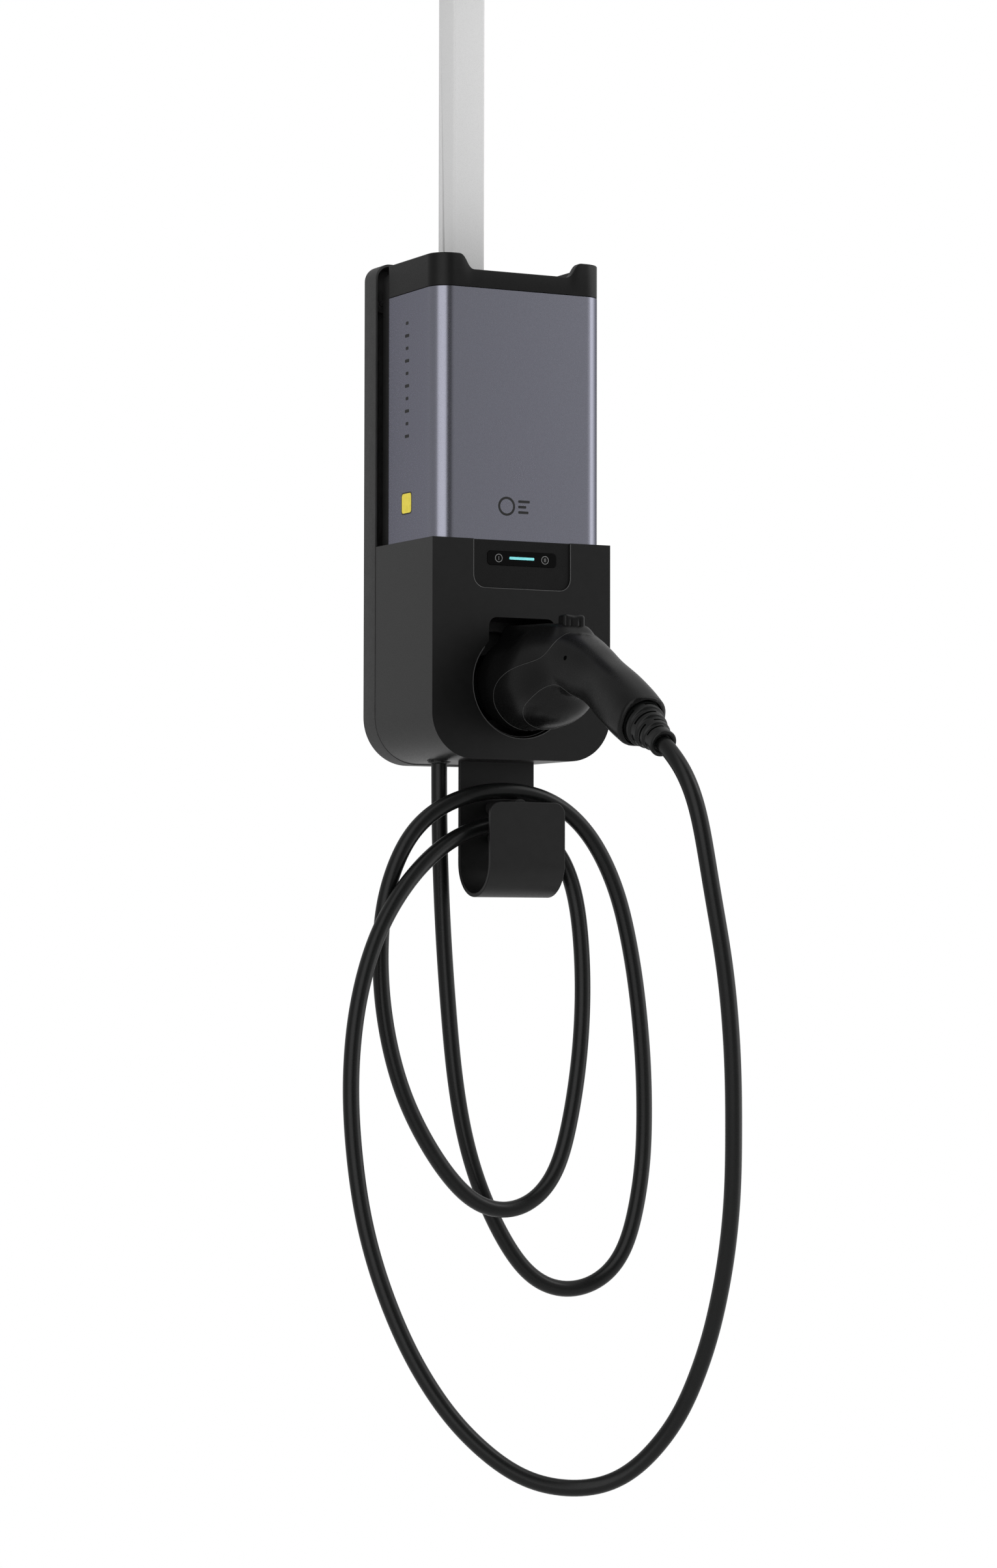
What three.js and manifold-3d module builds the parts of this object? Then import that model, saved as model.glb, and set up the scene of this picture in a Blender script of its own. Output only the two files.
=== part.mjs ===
// An electric-vehicle charging unit on the end of a square drop post.
// Millimetres, +Z up, +Y towards the back. Pieces are laid out from the middle of the lower cover's
// front top edge; the whole unit is then moved so that its origin is the middle of the post
// flange's top face, which is what holds it up.
import * as THREE from 'three';
import { mergeVertices } from 'three/addons/utils/BufferGeometryUtils.js';
import Module from 'manifold-3d';

const wasm = await Module();
wasm.setup();

// ---------------------------------------------------------------- driving dimensions
const GAP = 0.3;                       // clearance between pieces that touch
const COVER = { half: 100, depth: 126.7, drop: 218, wall: 3, corner: 46 };
const HOUSING = { half: 100.5, front: 127.7, back: 155, low: -219, high: 288, wall: 2.7 };
const HOUSING_CORNER = { low: 48, high: 16 };
const CHASSIS = { half: 92, front: 113.6, back: 127.4, low: -213, high: 279, rail: 14 };
const CASING = { half: 94.5, front: 3.3, back: 113.3, low: -12, high: 250, wall: 2.5 };
const CASING_CORNER = { front: 20, back: 5 };
const CAP = { high: 283, lip: 268, wall: 10, floor: 3, flatHalf: 52, riseHalf: 69 };
const TRAY = { half: 54.3, drop: 48.3, corner: 12.7, front: 1.2, back: 2.9 };
const GLASS = { half: 38.5, low: -25, high: -11.4, front: 0.8, back: 1.8 };
const LED = { half: 14.5, low: -19.4, high: -16 };
const HOLSTER = { z: -142, radius: 55, depth: 77, wall: 3 };
const LATCH_BAY = { half: 37.2, high: -77, corner: 9, depth: 59 };
const HOOK = { half: 42, thick: 4, strapFront: 53, plateFront: -12.7, plateTop: -260, bendZ: -319 };
const PEG = { radius: 4.5, x: -6, upperZ: -265.5, lowerZ: -294.5 };
const POST = { half: 18, wall: 2.5, corner: 3, y: 134, low: -60, high: 620 };
const FLANGE = { half: 50, thick: 8, corner: 10, holeRadius: 4.5, holeSpacing: 37 };
const CABLE = { radius: 8, sides: 10, steps: 84 };
const CABLE_EXIT = { x: -55, y: 73 };
const SUPPLY = { radius: 4.8, y: 143.7 };
const SLEEVE = { outer: 28, inner: 24.5, front: 8.3, tip: 62 };
const LEVER = { half: 5, low: -104, high: -99.5, front: -110, back: 48 };
const PIVOT = { y: -30, z: -101.75, radius: 2 };
const BUTTON = { half: 11, front: -109, back: -94, high: -80.5, skirt: -96 };
const CHANNEL = { half: 8, low: -112, high: -94, front: -112.4, back: 20 };
const SPRING = { y: -88, radius: 3, wire: 0.5, turns: 2.5 };
const HANDLE_SLOPE = THREE.MathUtils.degToRad(29);
const HANDLE_END = { y: -240.5, z: -192.2 };
const BOOT_LENGTH = 46;
const BOLT = { radius: 2.5, head: 4.4, y: 135.8 };
const BOLT_HEIGHTS = [60, 235];
const REAR_SCREW = { x: 85, heights: [250, -175], head: 5, shank: 2 };
const HOOK_SCREW = { x: [-24, 24], y: 80, head: 5, shank: 2 };
const GROMMET = { radius: 11.5 };
const GUN_SCREW = { y: -138, z: -126 };

// ---------------------------------------------------------------- materials
function finish(color, roughness, metalness = 0) {
  return new THREE.MeshStandardMaterial({ color, roughness, metalness });
}

const MATERIAL = {
  blackShell: finish(0x161616, 0.55),
  darkHousing: finish(0x2b2b2c, 0.6),
  aluminium: finish(0x5d5d68, 0.42, 0.7),
  blackCap: finish(0x0e0e0f, 0.6),
  texturedBlack: finish(0x121212, 0.8),
  glossBlack: finish(0x040405, 0.12),
  ledCyan: finish(0x7dd7da, 0.4),
  gunShell: finish(0x121213, 0.45),
  gunHandle: finish(0x1c1c1d, 0.5),
  rubber: finish(0x111413, 0.6),
  postPaint: finish(0xd2d2d2, 0.7),
  bracketBlack: finish(0x181818, 0.5),
  steel: finish(0x9a9a9c, 0.35, 0.9),
  brass: finish(0xb08d4a, 0.35, 0.9),
  board: finish(0x1f4a30, 0.6),
  device: finish(0xc9c9c4, 0.55),
};

// ---------------------------------------------------------------- shape helpers
function roundedBox(x0, y0, x1, y1, corners) {
  const [lowLeft, lowRight, highRight, highLeft] = corners;
  const shape = new THREE.Shape();
  shape.moveTo(x0 + lowLeft, y0);
  shape.lineTo(x1 - lowRight, y0);
  if (lowRight) shape.absarc(x1 - lowRight, y0 + lowRight, lowRight, -Math.PI / 2, 0);
  shape.lineTo(x1, y1 - highRight);
  if (highRight) shape.absarc(x1 - highRight, y1 - highRight, highRight, 0, Math.PI / 2);
  shape.lineTo(x0 + highLeft, y1);
  if (highLeft) shape.absarc(x0 + highLeft, y1 - highLeft, highLeft, Math.PI / 2, Math.PI);
  shape.lineTo(x0, y0 + lowLeft);
  if (lowLeft) shape.absarc(x0 + lowLeft, y0 + lowLeft, lowLeft, Math.PI, Math.PI * 1.5);
  return shape;
}

function sameCorners(radius) {
  return [radius, radius, radius, radius];
}

function extrude(shape, depth, curveSegments) {
  return new THREE.ExtrudeGeometry(shape, { depth, bevelEnabled: false, curveSegments });
}

// A shape drawn in X and Y, standing from z0 to z1.
function upZ(shape, z0, z1, curveSegments = 4) {
  return extrude(shape, z1 - z0, curveSegments).translate(0, 0, z0);
}

// A shape drawn in X and Z, running back from y0 to y1.
function alongY(shape, y0, y1, curveSegments = 4) {
  return extrude(shape, y1 - y0, curveSegments).rotateX(Math.PI / 2).translate(0, y1, 0);
}

// A shape drawn in Y and Z, running across from x0 to x1.
function alongX(shape, x0, x1, curveSegments = 6) {
  const turn = new THREE.Matrix4().set(0, 0, 1, 0, 1, 0, 0, 0, 0, 1, 0, 0, 0, 0, 0, 1);
  return extrude(shape, x1 - x0, curveSegments).applyMatrix4(turn).translate(x0, 0, 0);
}

function block(x0, x1, y0, y1, z0, z1) {
  const box = new THREE.BoxGeometry(x1 - x0, y1 - y0, z1 - z0);
  return box.translate((x0 + x1) / 2, (y0 + y1) / 2, (z0 + z1) / 2);
}

function rodX(radius, x0, x1, y, z, sides = 16) {
  const rod = new THREE.CylinderGeometry(radius, radius, x1 - x0, sides).rotateZ(Math.PI / 2);
  return rod.translate((x0 + x1) / 2, y, z);
}

function rodY(radius, y0, y1, x, z, sides = 16) {
  return new THREE.CylinderGeometry(radius, radius, y1 - y0, sides).translate(x, (y0 + y1) / 2, z);
}

function rodZ(radius, z0, z1, x, y, sides = 16) {
  const rod = new THREE.CylinderGeometry(radius, radius, z1 - z0, sides).rotateX(Math.PI / 2);
  return rod.translate(x, y, (z0 + z1) / 2);
}

// A profile of [radius, height] pairs turned about the Z axis.
function turned(profile, sides = 20) {
  const points = profile.map(([radius, height]) => new THREE.Vector2(radius, height));
  return new THREE.LatheGeometry(points, sides).rotateX(Math.PI / 2);
}

function tube(points, radius, sides, steps) {
  const corners = Array.from({ length: sides }, (_, i) => {
    const angle = (i / sides) * Math.PI * 2;
    return new THREE.Vector2(radius * Math.cos(angle), radius * Math.sin(angle));
  });
  const extrudePath = new THREE.CatmullRomCurve3(points.map((p) => new THREE.Vector3(...p)));
  return new THREE.ExtrudeGeometry(new THREE.Shape(corners), { steps, extrudePath });
}

// One oval section of a lofted body: y and z of its middle, half width, half height, and how far
// the body's run is tipped down from straight forward.
function oval({ y, z, wide, high, slope = 0, power = 2 }, count = 24) {
  return Array.from({ length: count }, (_, i) => {
    const angle = (i / count) * Math.PI * 2;
    const across = Math.sign(Math.cos(angle)) * Math.abs(Math.cos(angle)) ** (2 / power) * wide;
    const up = Math.sign(Math.sin(angle)) * Math.abs(Math.sin(angle)) ** (2 / power) * high;
    return [across, y - up * Math.sin(slope), z + up * Math.cos(slope)];
  });
}

// A closed body through a list of oval sections, from back to front.
function loft(sections) {
  const rings = sections.map((section) => oval(section));
  const count = rings[0].length;
  const positions = rings.flat(2);
  const index = [];
  for (let row = 0; row + 1 < rings.length; row += 1) {
    for (let i = 0; i < count; i += 1) {
      const a = row * count + i;
      const b = row * count + ((i + 1) % count);
      index.push(a, b, a + count, b, b + count, a + count);
    }
  }
  const last = (rings.length - 1) * count;
  for (let i = 1; i + 1 < count; i += 1) {
    index.push(0, i + 1, i);
    index.push(last, last + i, last + i + 1);
  }
  const geometry = new THREE.BufferGeometry();
  geometry.setAttribute('position', new THREE.Float32BufferAttribute(positions, 3));
  geometry.setIndex(index);
  return geometry;
}

// ---------------------------------------------------------------- joining and cutting
function solid(geometry) {
  const bare = geometry.clone();
  bare.deleteAttribute('normal');
  bare.deleteAttribute('uv');
  const merged = mergeVertices(bare, 1e-4);
  const vertProperties = new Float32Array(merged.attributes.position.array);
  const triVerts = new Uint32Array(merged.index.array);
  return new wasm.Manifold(new wasm.Mesh({ numProp: 3, vertProperties, triVerts }));
}

function join(...geometries) {
  return geometries.map(solid).reduce((sum, next) => sum.add(next));
}

function cut(body, ...geometries) {
  return geometries.map(solid).reduce((rest, next) => rest.subtract(next), body);
}

function surface(body) {
  const { vertProperties, triVerts } = body.getMesh();
  const geometry = new THREE.BufferGeometry();
  geometry.setAttribute('position', new THREE.BufferAttribute(vertProperties, 3));
  geometry.setIndex(new THREE.BufferAttribute(triVerts, 1));
  return geometry;
}

const unit = new THREE.Group();

function add(name, shape, material, parent = unit) {
  const geometry = shape.isBufferGeometry ? shape : surface(shape);
  geometry.computeVertexNormals();
  const mesh = new THREE.Mesh(geometry, material);
  mesh.name = name;
  parent.add(mesh);
}

// ---------------------------------------------------------------- post and its flange
function addPost() {
  const { half, wall, corner, y, low, high } = POST;
  const inner = half - wall;
  const outside = upZ(roundedBox(-half, y - half, half, y + half, sameCorners(corner)), low, high);
  const inside = roundedBox(-inner, y - inner, inner, y + inner, sameCorners(corner - wall));
  const bores = BOLT_HEIGHTS.map((z) => rodX(BOLT.radius + GAP, -half - 1, half + 1, BOLT.y, z));
  const bore = upZ(inside, low - 1, high + 1);
  add('post_tube', cut(solid(outside), bore, ...bores), MATERIAL.postPaint);

  const plate = roundedBox(-FLANGE.half, y - FLANGE.half, FLANGE.half, y + FLANGE.half,
    sameCorners(FLANGE.corner));
  const base = high + GAP;
  const holes = [-1, 1].flatMap((sx) => [-1, 1].map((sy) => rodZ(FLANGE.holeRadius, base - 1,
    base + FLANGE.thick + 1, sx * FLANGE.holeSpacing, y + sy * FLANGE.holeSpacing)));
  const inlet = rodZ(SUPPLY.radius + GAP, base - 1, base + FLANGE.thick + 1, 0, SUPPLY.y);
  const disc = solid(upZ(plate, base, base + FLANGE.thick));
  add('post_flange', cut(disc, ...holes, inlet), MATERIAL.postPaint);
}

// ---------------------------------------------------------------- rear housing and chassis

function rearScrewPlaces() {
  return REAR_SCREW.heights.flatMap((z) => [-REAR_SCREW.x, REAR_SCREW.x].map((x) => [x, z]));
}

function addRearHousing() {
  const { half, front, back, low, high, wall } = HOUSING;
  const { low: r, high: s } = HOUSING_CORNER;
  const floor = back - wall;
  const outline = roundedBox(-half, low, half, high, [r, r, s, s]);
  const hollow = roundedBox(-half + wall, low + wall, half - wall, high - wall,
    [r - wall, r - wall, s - wall, s - wall]);
  const tray = cut(solid(alongY(outline, front, back)), alongY(hollow, front - 1, floor));
  const bosses = rearScrewPlaces().map(([x, z]) => rodY(9, floor - 6, floor + 1, x, z));
  const pockets = rearScrewPlaces().map(([x, z]) => rodY(6, floor - GAP, back + 1, x, z));
  const bores = rearScrewPlaces().map(([x, z]) => rodY(REAR_SCREW.shank + GAP, 120, back, x, z, 12));
  const notch = block(-POST.half - 0.5, POST.half + 0.5, front - 1, floor, high - 8, high + 1);
  add('back_housing', cut(tray.add(join(...bosses)), ...pockets, ...bores, notch),
    MATERIAL.darkHousing);

  rearScrewPlaces().forEach(([x, z], i) => {
    const head = rodY(REAR_SCREW.head, floor, back - 0.4, x, z);
    const shank = rodY(REAR_SCREW.shank, CHASSIS.front + 2, floor + 1, x, z, 12);
    add(`housing_screw_${i + 1}`, join(head, shank), MATERIAL.steel);
  });
}

function addChassis() {
  const { half, front, back, low, high, rail } = CHASSIS;
  const spine = POST.half + 6;
  const outline = roundedBox(-half, low, half, high, [43, 43, 12, 12]);
  const panels = [[low + rail, -70], [-58, 96], [108, high - rail]];
  const windows = panels.flatMap(([z0, z1], i) => [-1, 1].map((side) => {
    const x0 = side < 0 ? -half + rail : spine;
    const corners = sameCorners(i === 0 ? 20 : 6);
    const shape = roundedBox(x0, z0, x0 + half - rail - spine, z1, corners);
    return alongY(shape, front - 1, back + 1, 4);
  }));
  const slot = block(-POST.half - 0.5, POST.half + 0.5, front - 1, back + 1, -112, high + 1);
  const bores = rearScrewPlaces().map(([x, z]) => rodY(REAR_SCREW.shank + GAP, front + 1.5,
    back + 1, x, z, 12));
  add('inner_chassis', cut(solid(alongY(outline, front, back)), ...windows, slot, ...bores),
    MATERIAL.blackShell);
}

function addPostBrackets() {
  const { half } = POST;
  const y0 = CHASSIS.back + GAP;
  for (const [name, side] of [['post_bracket_left', -1], ['post_bracket_right', 1]]) {
    const web = [half + GAP, half + 3 + GAP];
    const wing = [half + GAP, half + 22];
    const [a, b] = side < 0 ? [-web[1], -web[0]] : web;
    const [c, d] = side < 0 ? [-wing[1], -wing[0]] : wing;
    const angle = join(block(a, b, y0, HOUSING.back - HOUSING.wall - 1, 20, 268),
      block(c, d, y0, y0 + 3, 20, 268));
    const bores = BOLT_HEIGHTS.map((z) => rodX(BOLT.radius + GAP, -half - 9, half + 9, BOLT.y, z));
    add(name, cut(angle, ...bores), MATERIAL.steel);
  }
  const seat = half + 3 + 2 * GAP;
  BOLT_HEIGHTS.forEach((z, i) => {
    const shank = rodX(BOLT.radius, -seat - 3, seat + 3, BOLT.y, z);
    const head = rodX(BOLT.head, seat, seat + 4, BOLT.y, z, 6);
    const nut = rodX(BOLT.head, -seat - 4, -seat, BOLT.y, z, 6);
    add(`cross_bolt_${i + 1}`, join(shank, head, nut), MATERIAL.steel);
  });
}

// ---------------------------------------------------------------- aluminium casing and its cap
function casingOutline(inset = 0) {
  const { half, front, back } = CASING;
  const f = CASING_CORNER.front - inset;
  const b = Math.max(CASING_CORNER.back - inset, 1);
  return roundedBox(-half + inset, front + inset, half - inset, back - inset, [f, f, b, b]);
}

function addCasing() {
  const { low, high, wall } = CASING;
  const hollow = upZ(casingOutline(wall), low - 1, high + 1);
  add('casing', cut(solid(upZ(casingOutline(), low, high)), hollow), MATERIAL.aluminium);
}

function addTopCap() {
  const { high, lip, wall, floor, flatHalf, riseHalf } = CAP;
  const base = CASING.high + GAP;
  const hollow = upZ(casingOutline(wall), base + floor, high + 1);
  const dip = new THREE.Shape();
  const middle = (flatHalf + riseHalf) / 2;
  dip.moveTo(-flatHalf, lip);
  dip.lineTo(flatHalf, lip);
  dip.bezierCurveTo(middle, lip, middle, high + 1, riseHalf, high + 1);
  dip.lineTo(-riseHalf, high + 1);
  dip.bezierCurveTo(-middle, high + 1, -middle, lip, -flatHalf, lip);
  const cap = cut(solid(upZ(casingOutline(), base, high)), hollow, alongY(dip, 0, 16));
  add('top_cap', cap, MATERIAL.blackCap);
}

// ---------------------------------------------------------------- lower cover
function holsterMouth(inset = 0) {
  const radius = HOLSTER.radius + inset;
  const half = LATCH_BAY.half + inset;
  const meet = HOLSTER.z + Math.sqrt(radius ** 2 - half ** 2);
  const start = Math.atan2(meet - HOLSTER.z, half);
  const high = LATCH_BAY.high + inset;
  const corner = LATCH_BAY.corner;
  const shape = new THREE.Shape();
  shape.absarc(0, HOLSTER.z, radius, Math.PI - start, Math.PI * 2 + start);
  shape.lineTo(half, high - corner);
  shape.absarc(half - corner, high - corner, corner, 0, Math.PI / 2);
  shape.lineTo(-half + corner, high);
  shape.absarc(-half + corner, high - corner, corner, Math.PI / 2, Math.PI);
  return shape;
}

function addLowerCover() {
  const { half, depth, drop, wall, corner } = COVER;
  const outline = roundedBox(-half, -drop, half, 0, [corner, corner, 0, 0]);
  const hollow = roundedBox(-half + wall, -drop + wall, half - wall, 5,
    [corner - wall, corner - wall, 0, 0]);
  const window = roundedBox(-TRAY.half - GAP, -TRAY.drop - GAP, TRAY.half + GAP, 1,
    [TRAY.corner + GAP, TRAY.corner + GAP, 0, 0]);
  const strap = block(-HOOK.half - GAP, HOOK.half + GAP, HOOK.strapFront - GAP,
    HOOK.strapFront + HOOK.thick + GAP, -drop - 1, -drop + wall + 1);
  const gland = rodZ(GROMMET.radius + 0.6, -drop - 1, -drop + 12, CABLE_EXIT.x, CABLE_EXIT.y);
  const bores = HOOK_SCREW.x.map((x) => rodZ(HOOK_SCREW.shank + GAP, -drop - 1, -drop + wall + 1,
    x, HOOK_SCREW.y, 12));
  const shell = cut(solid(alongY(outline, 0, depth, 6)), alongY(hollow, wall, depth + 1, 6),
    alongY(window, -1, wall + 1), alongY(holsterMouth(), -1, wall + 1, 16), strap, gland, ...bores);
  add('lower_cover', shell, MATERIAL.blackShell);
}

// ---------------------------------------------------------------- display
function addDisplay() {
  const { half, drop, corner, front, back } = TRAY;
  const strip = roundedBox(-GLASS.half, GLASS.low, GLASS.half, GLASS.high, sameCorners(3.5));
  const well = roundedBox(-GLASS.half - GAP, GLASS.low - GAP, GLASS.half + GAP, GLASS.high + GAP,
    sameCorners(3.8));
  const plate = roundedBox(-half, -drop, half, -GAP, [corner, corner, 0, 0]);
  const tray = cut(solid(alongY(plate, front, back)), alongY(well, front - 1, GLASS.back + GAP));
  add('display_tray', tray, MATERIAL.texturedBlack);

  const { half: bar, low, high } = LED;
  const slot = roundedBox(-bar - GAP, low - GAP, bar + GAP, high + GAP, sameCorners(1));
  const glass = cut(solid(alongY(strip, GLASS.front, GLASS.back)), alongY(slot, 0, 3));
  add('display_glass', glass, MATERIAL.glossBlack);
  const light = alongY(roundedBox(-bar, low, bar, high, sameCorners(0.8)), GLASS.front, GLASS.back);
  add('led_bar', light, MATERIAL.ledCyan);

  const board = join(block(-45, 45, 8, 9.6, -45, -5), block(-20, 20, 9, 14, -40, -20));
  add('display_board', board, MATERIAL.board);
}

// ---------------------------------------------------------------- holster
function addHolster() {
  const { z, radius, depth, wall } = HOLSTER;
  const start = COVER.wall + GAP;
  const bay = (inset, y0, y1) => block(-LATCH_BAY.half - inset, LATCH_BAY.half + inset, y0, y1,
    z, LATCH_BAY.high + inset);
  const outside = join(rodY(radius + wall + 0.5, start, depth + wall, 0, z, 48),
    bay(wall + GAP, start, LATCH_BAY.depth + wall));
  const cup = cut(outside, rodY(radius + 0.5, 0, depth, 0, z, 48), bay(GAP, 0, LATCH_BAY.depth));
  add('holster_cup', cup, MATERIAL.blackShell);

  const ring = cut(solid(rodY(33, 40, depth - GAP, 0, z, 32)),
    rodY(SLEEVE.outer + 0.6, 39, depth, 0, z, 32));
  add('holster_ring', ring, MATERIAL.blackShell);
}

// ---------------------------------------------------------------- cable hook

function addHook() {
  const { half, thick, strapFront, plateFront, plateTop, bendZ } = HOOK;
  const strapBack = strapFront + thick;
  const middle = (strapBack + plateFront) / 2;
  const bend = (strapBack - plateFront) / 2;
  const ledge = -COVER.drop + COVER.wall + GAP;
  const tail = 96;
  const side = new THREE.Shape();
  side.moveTo(tail, ledge);
  side.lineTo(tail, ledge + thick);
  side.lineTo(strapFront + 2, ledge + thick);
  side.quadraticCurveTo(strapFront, ledge + thick, strapFront, ledge + thick - 2);
  side.lineTo(strapFront, bendZ);
  side.absarc(middle, bendZ, bend - thick, 0, Math.PI, true);
  side.lineTo(plateFront + thick, plateTop);
  side.lineTo(plateFront, plateTop);
  side.lineTo(plateFront, bendZ);
  side.absarc(middle, bendZ, bend, Math.PI, Math.PI * 2, false);
  side.lineTo(strapBack, ledge);
  const lobes = roundedBox(-half, -400, half, plateTop, [0, 0, 12, 12]);
  const offcut = cut(solid(block(-half - 1, half + 1, plateFront - 1, 0, -300, -200)),
    alongY(lobes, plateFront - 2, 1));
  const bores = HOOK_SCREW.x.map((x) => rodZ(HOOK_SCREW.shank + GAP, ledge - 1, ledge + thick + 1,
    x, HOOK_SCREW.y, 12));
  const strap = cut(solid(alongX(side, -half, half, 10)).subtract(offcut), ...bores);
  add('cable_hook', strap, MATERIAL.bracketBlack);

  const pegFront = plateFront + thick + GAP;
  add('hook_peg_upper', rodY(PEG.radius, pegFront, strapFront - GAP, PEG.x, PEG.upperZ), MATERIAL.steel);
  add('hook_peg_lower', rodY(PEG.radius, pegFront, strapFront - GAP, PEG.x, PEG.lowerZ), MATERIAL.steel);

  HOOK_SCREW.x.forEach((x, i) => {
    const under = -COVER.drop - GAP;
    const screw = join(rodZ(HOOK_SCREW.head, under - 2.5, under, x, HOOK_SCREW.y),
      rodZ(HOOK_SCREW.shank, under - 1, ledge + thick + 3, x, HOOK_SCREW.y, 12));
    add(`hook_screw_${i + 1}`, screw, MATERIAL.steel);
  });
}

// ---------------------------------------------------------------- cables
// The charging cable's route: out of the gun's boot, down and round the big loop, over the hook's
// lower peg, round the inner loop, over the upper peg, and up into the grommet.
const CABLE_ROUTE = [
  [0, -280.99, -214.65], [0, -291.23, -220.32], [1.5, -305.5, -231], [5, -317.5, -248.5],
  [10, -325, -273], [28, -322, -353], [46, -315, -425], [60, -304, -499], [70, -290, -573],
  [78, -273, -647], [82, -248, -722], [80, -215, -797], [65, -177, -867], [24, -140, -917],
  [-41, -105, -917], [-96, -75, -874], [-135, -52, -815], [-163, -35, -747], [-182, -23, -675],
  [-191, -15, -600], [-193, -12, -525], [-183, -10, -450], [-158, -6, -383], [-115, 2, -328],
  [-68, 13, -296], [-31, 20, -284], [0, 22, -281], [27, 22, -287], [50, 22, -303], [65, 22, -327],
  [74, 22, -357], [81, 22, -428], [78, 22, -507], [65, 22, -584], [50, 22, -630], [26, 21, -656],
  [-8, 20, -666], [-42, 20, -656], [-66, 20, -634], [-88, 19, -607], [-118, 19, -555],
  [-138, 18, -495], [-148, 16, -425], [-143, 14, -351], [-113, 12, -288], [-72, 10, -261],
  [-37, 9, -253], [-5, 9, -251.5], [36, 8, -260], [76, 8, -287], [110, 10, -339],
  [130, 13, -401], [145, 18, -479], [155, 27, -559], [156, 36, -639], [138, 43, -716],
  [114, 46, -740], [81, 50, -749], [48, 53, -740], [24, 56, -716], [-10, 60, -655],
  [-28, 64, -600], [-39, 67, -538], [-46, 70, -460], [-51, 72, -381], [-54, 73, -303],
  [-55, 73, -240], [-55, 73, -220.3],
];

function addCables() {
  const { radius, sides, steps } = CABLE;
  add('charging_cable', tube(CABLE_ROUTE, radius, sides, steps), MATERIAL.rubber);

  const { x, y } = CABLE_EXIT;
  const { radius: neck } = GROMMET;
  const floor = -COVER.drop;
  const inside = floor + COVER.wall + GAP;
  const grommet = turned([[radius + GAP, floor - 2], [neck - 1.5, floor - 2], [neck, floor - 0.5],
    [neck, inside + 2], [radius + GAP, inside + 2], [radius + GAP, floor - 2]]);
  add('cable_grommet', grommet.translate(x, y, 0), MATERIAL.rubber);
  const inner = inside + 2 + GAP;
  const nut = turned([[radius + GAP, inner], [neck, inner], [neck, inner + 12],
    [radius + GAP, inner + 12], [radius + GAP, inner]], 6);
  add('gland_nut', nut.translate(x, y, 0), MATERIAL.blackShell);

  const supply = [[0, SUPPLY.y, POST.high + GAP + FLANGE.thick - 1], [0, SUPPLY.y, 300], [0, SUPPLY.y, 0], [0, SUPPLY.y - 1, -50],
    [0, 136, -75], [0, 120, -90], [0, 106, -92]];
  add('supply_cable', tube(supply, SUPPLY.radius, 8, 24), MATERIAL.rubber);
}

// ---------------------------------------------------------------- electrical pieces inside
function addElectrics() {
  const rail = new THREE.Shape();
  const z = 150;
  rail.moveTo(110, z - 13);
  rail.lineTo(110, z + 13);
  rail.lineTo(103, z + 13);
  rail.lineTo(103, z + 17.5);
  rail.lineTo(101.5, z + 17.5);
  rail.lineTo(101.5, z + 11.5);
  rail.lineTo(108.5, z + 11.5);
  rail.lineTo(108.5, z - 11.5);
  rail.lineTo(101.5, z - 11.5);
  rail.lineTo(101.5, z - 17.5);
  rail.lineTo(103, z - 17.5);
  rail.lineTo(103, z - 13);
  add('din_rail', alongX(rail, -82, 82), MATERIAL.steel);

  const front = 101;
  const breaker = join(block(-80, -10, 38, front, 106, 194), block(-80, -10, 31, 40, 128, 172),
    block(-50, -40, 25, 33, 146, 162));
  add('residual_current_breaker', breaker, MATERIAL.device);
  add('contactor', join(block(0, 52, 40, front, 108, 192), block(10, 42, 30, 42, 130, 170)),
    MATERIAL.device);
  add('meter_module', join(block(56, 82, 40, front, 106, 194), block(60, 78, 34, 42, 135, 165)),
    MATERIAL.device);
  const board = join(block(-82, 82, 98, 99.6, -5, 92), block(-70, -30, 74, 99, 20, 60),
    block(-10, 15, 78, 99, 10, 50), block(30, 70, 84, 99, 40, 80));
  add('main_board', board, MATERIAL.board);
  add('terminal_block', join(block(-30, 30, 84, 104, -118, -78), block(-26, 26, 82, 86, -112, -84)),
    MATERIAL.device);
}

// ---------------------------------------------------------------- charging gun
const HEAD_OUTSIDE = [
  { y: 8, z: -142, wide: 47, high: 47 },
  { y: -35, z: -142.2, wide: 47, high: 47 },
  { y: -60, z: -143.4, wide: 45.3, high: 45.3 },
  { y: -80, z: -145.2, wide: 39.8, high: 39.8 },
  { y: -95, z: -147, wide: 31, high: 31 },
  { y: -104, z: -148.2, wide: 20.5, high: 20.5 },
  { y: -108, z: -148.8, wide: 10.4, high: 10.4 },
];
const HEAD_INSIDE = [
  { y: 5, z: -146, wide: 43, high: 38 },
  { y: -50, z: -146, wide: 42, high: 38 },
  { y: -76, z: -147, wide: 37, high: 36 },
  { y: -92, z: -148, wide: 27, high: 27 },
  { y: -100, z: -149, wide: 15, high: 15 },
];
const HANDLE_OUTSIDE = [
  { y: -66, z: -124, wide: 36, high: 32, slope: 0.08 },
  { y: -108, z: -127.5, wide: 32, high: 29.5, slope: 0.25 },
  { y: -137, z: -137, wide: 27.5, high: 27.2, slope: 0.36 },
  { y: -165, z: -149.5, wide: 24.2, high: 25.6, slope: 0.46 },
  { y: -196, z: -166.3, wide: 25, high: 27.4, slope: HANDLE_SLOPE },
  { y: -222, z: -181.5, wide: 25.5, high: 28.6, slope: HANDLE_SLOPE },
  { ...HANDLE_END, wide: 24.6, high: 27.6, slope: HANDLE_SLOPE },
];
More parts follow.
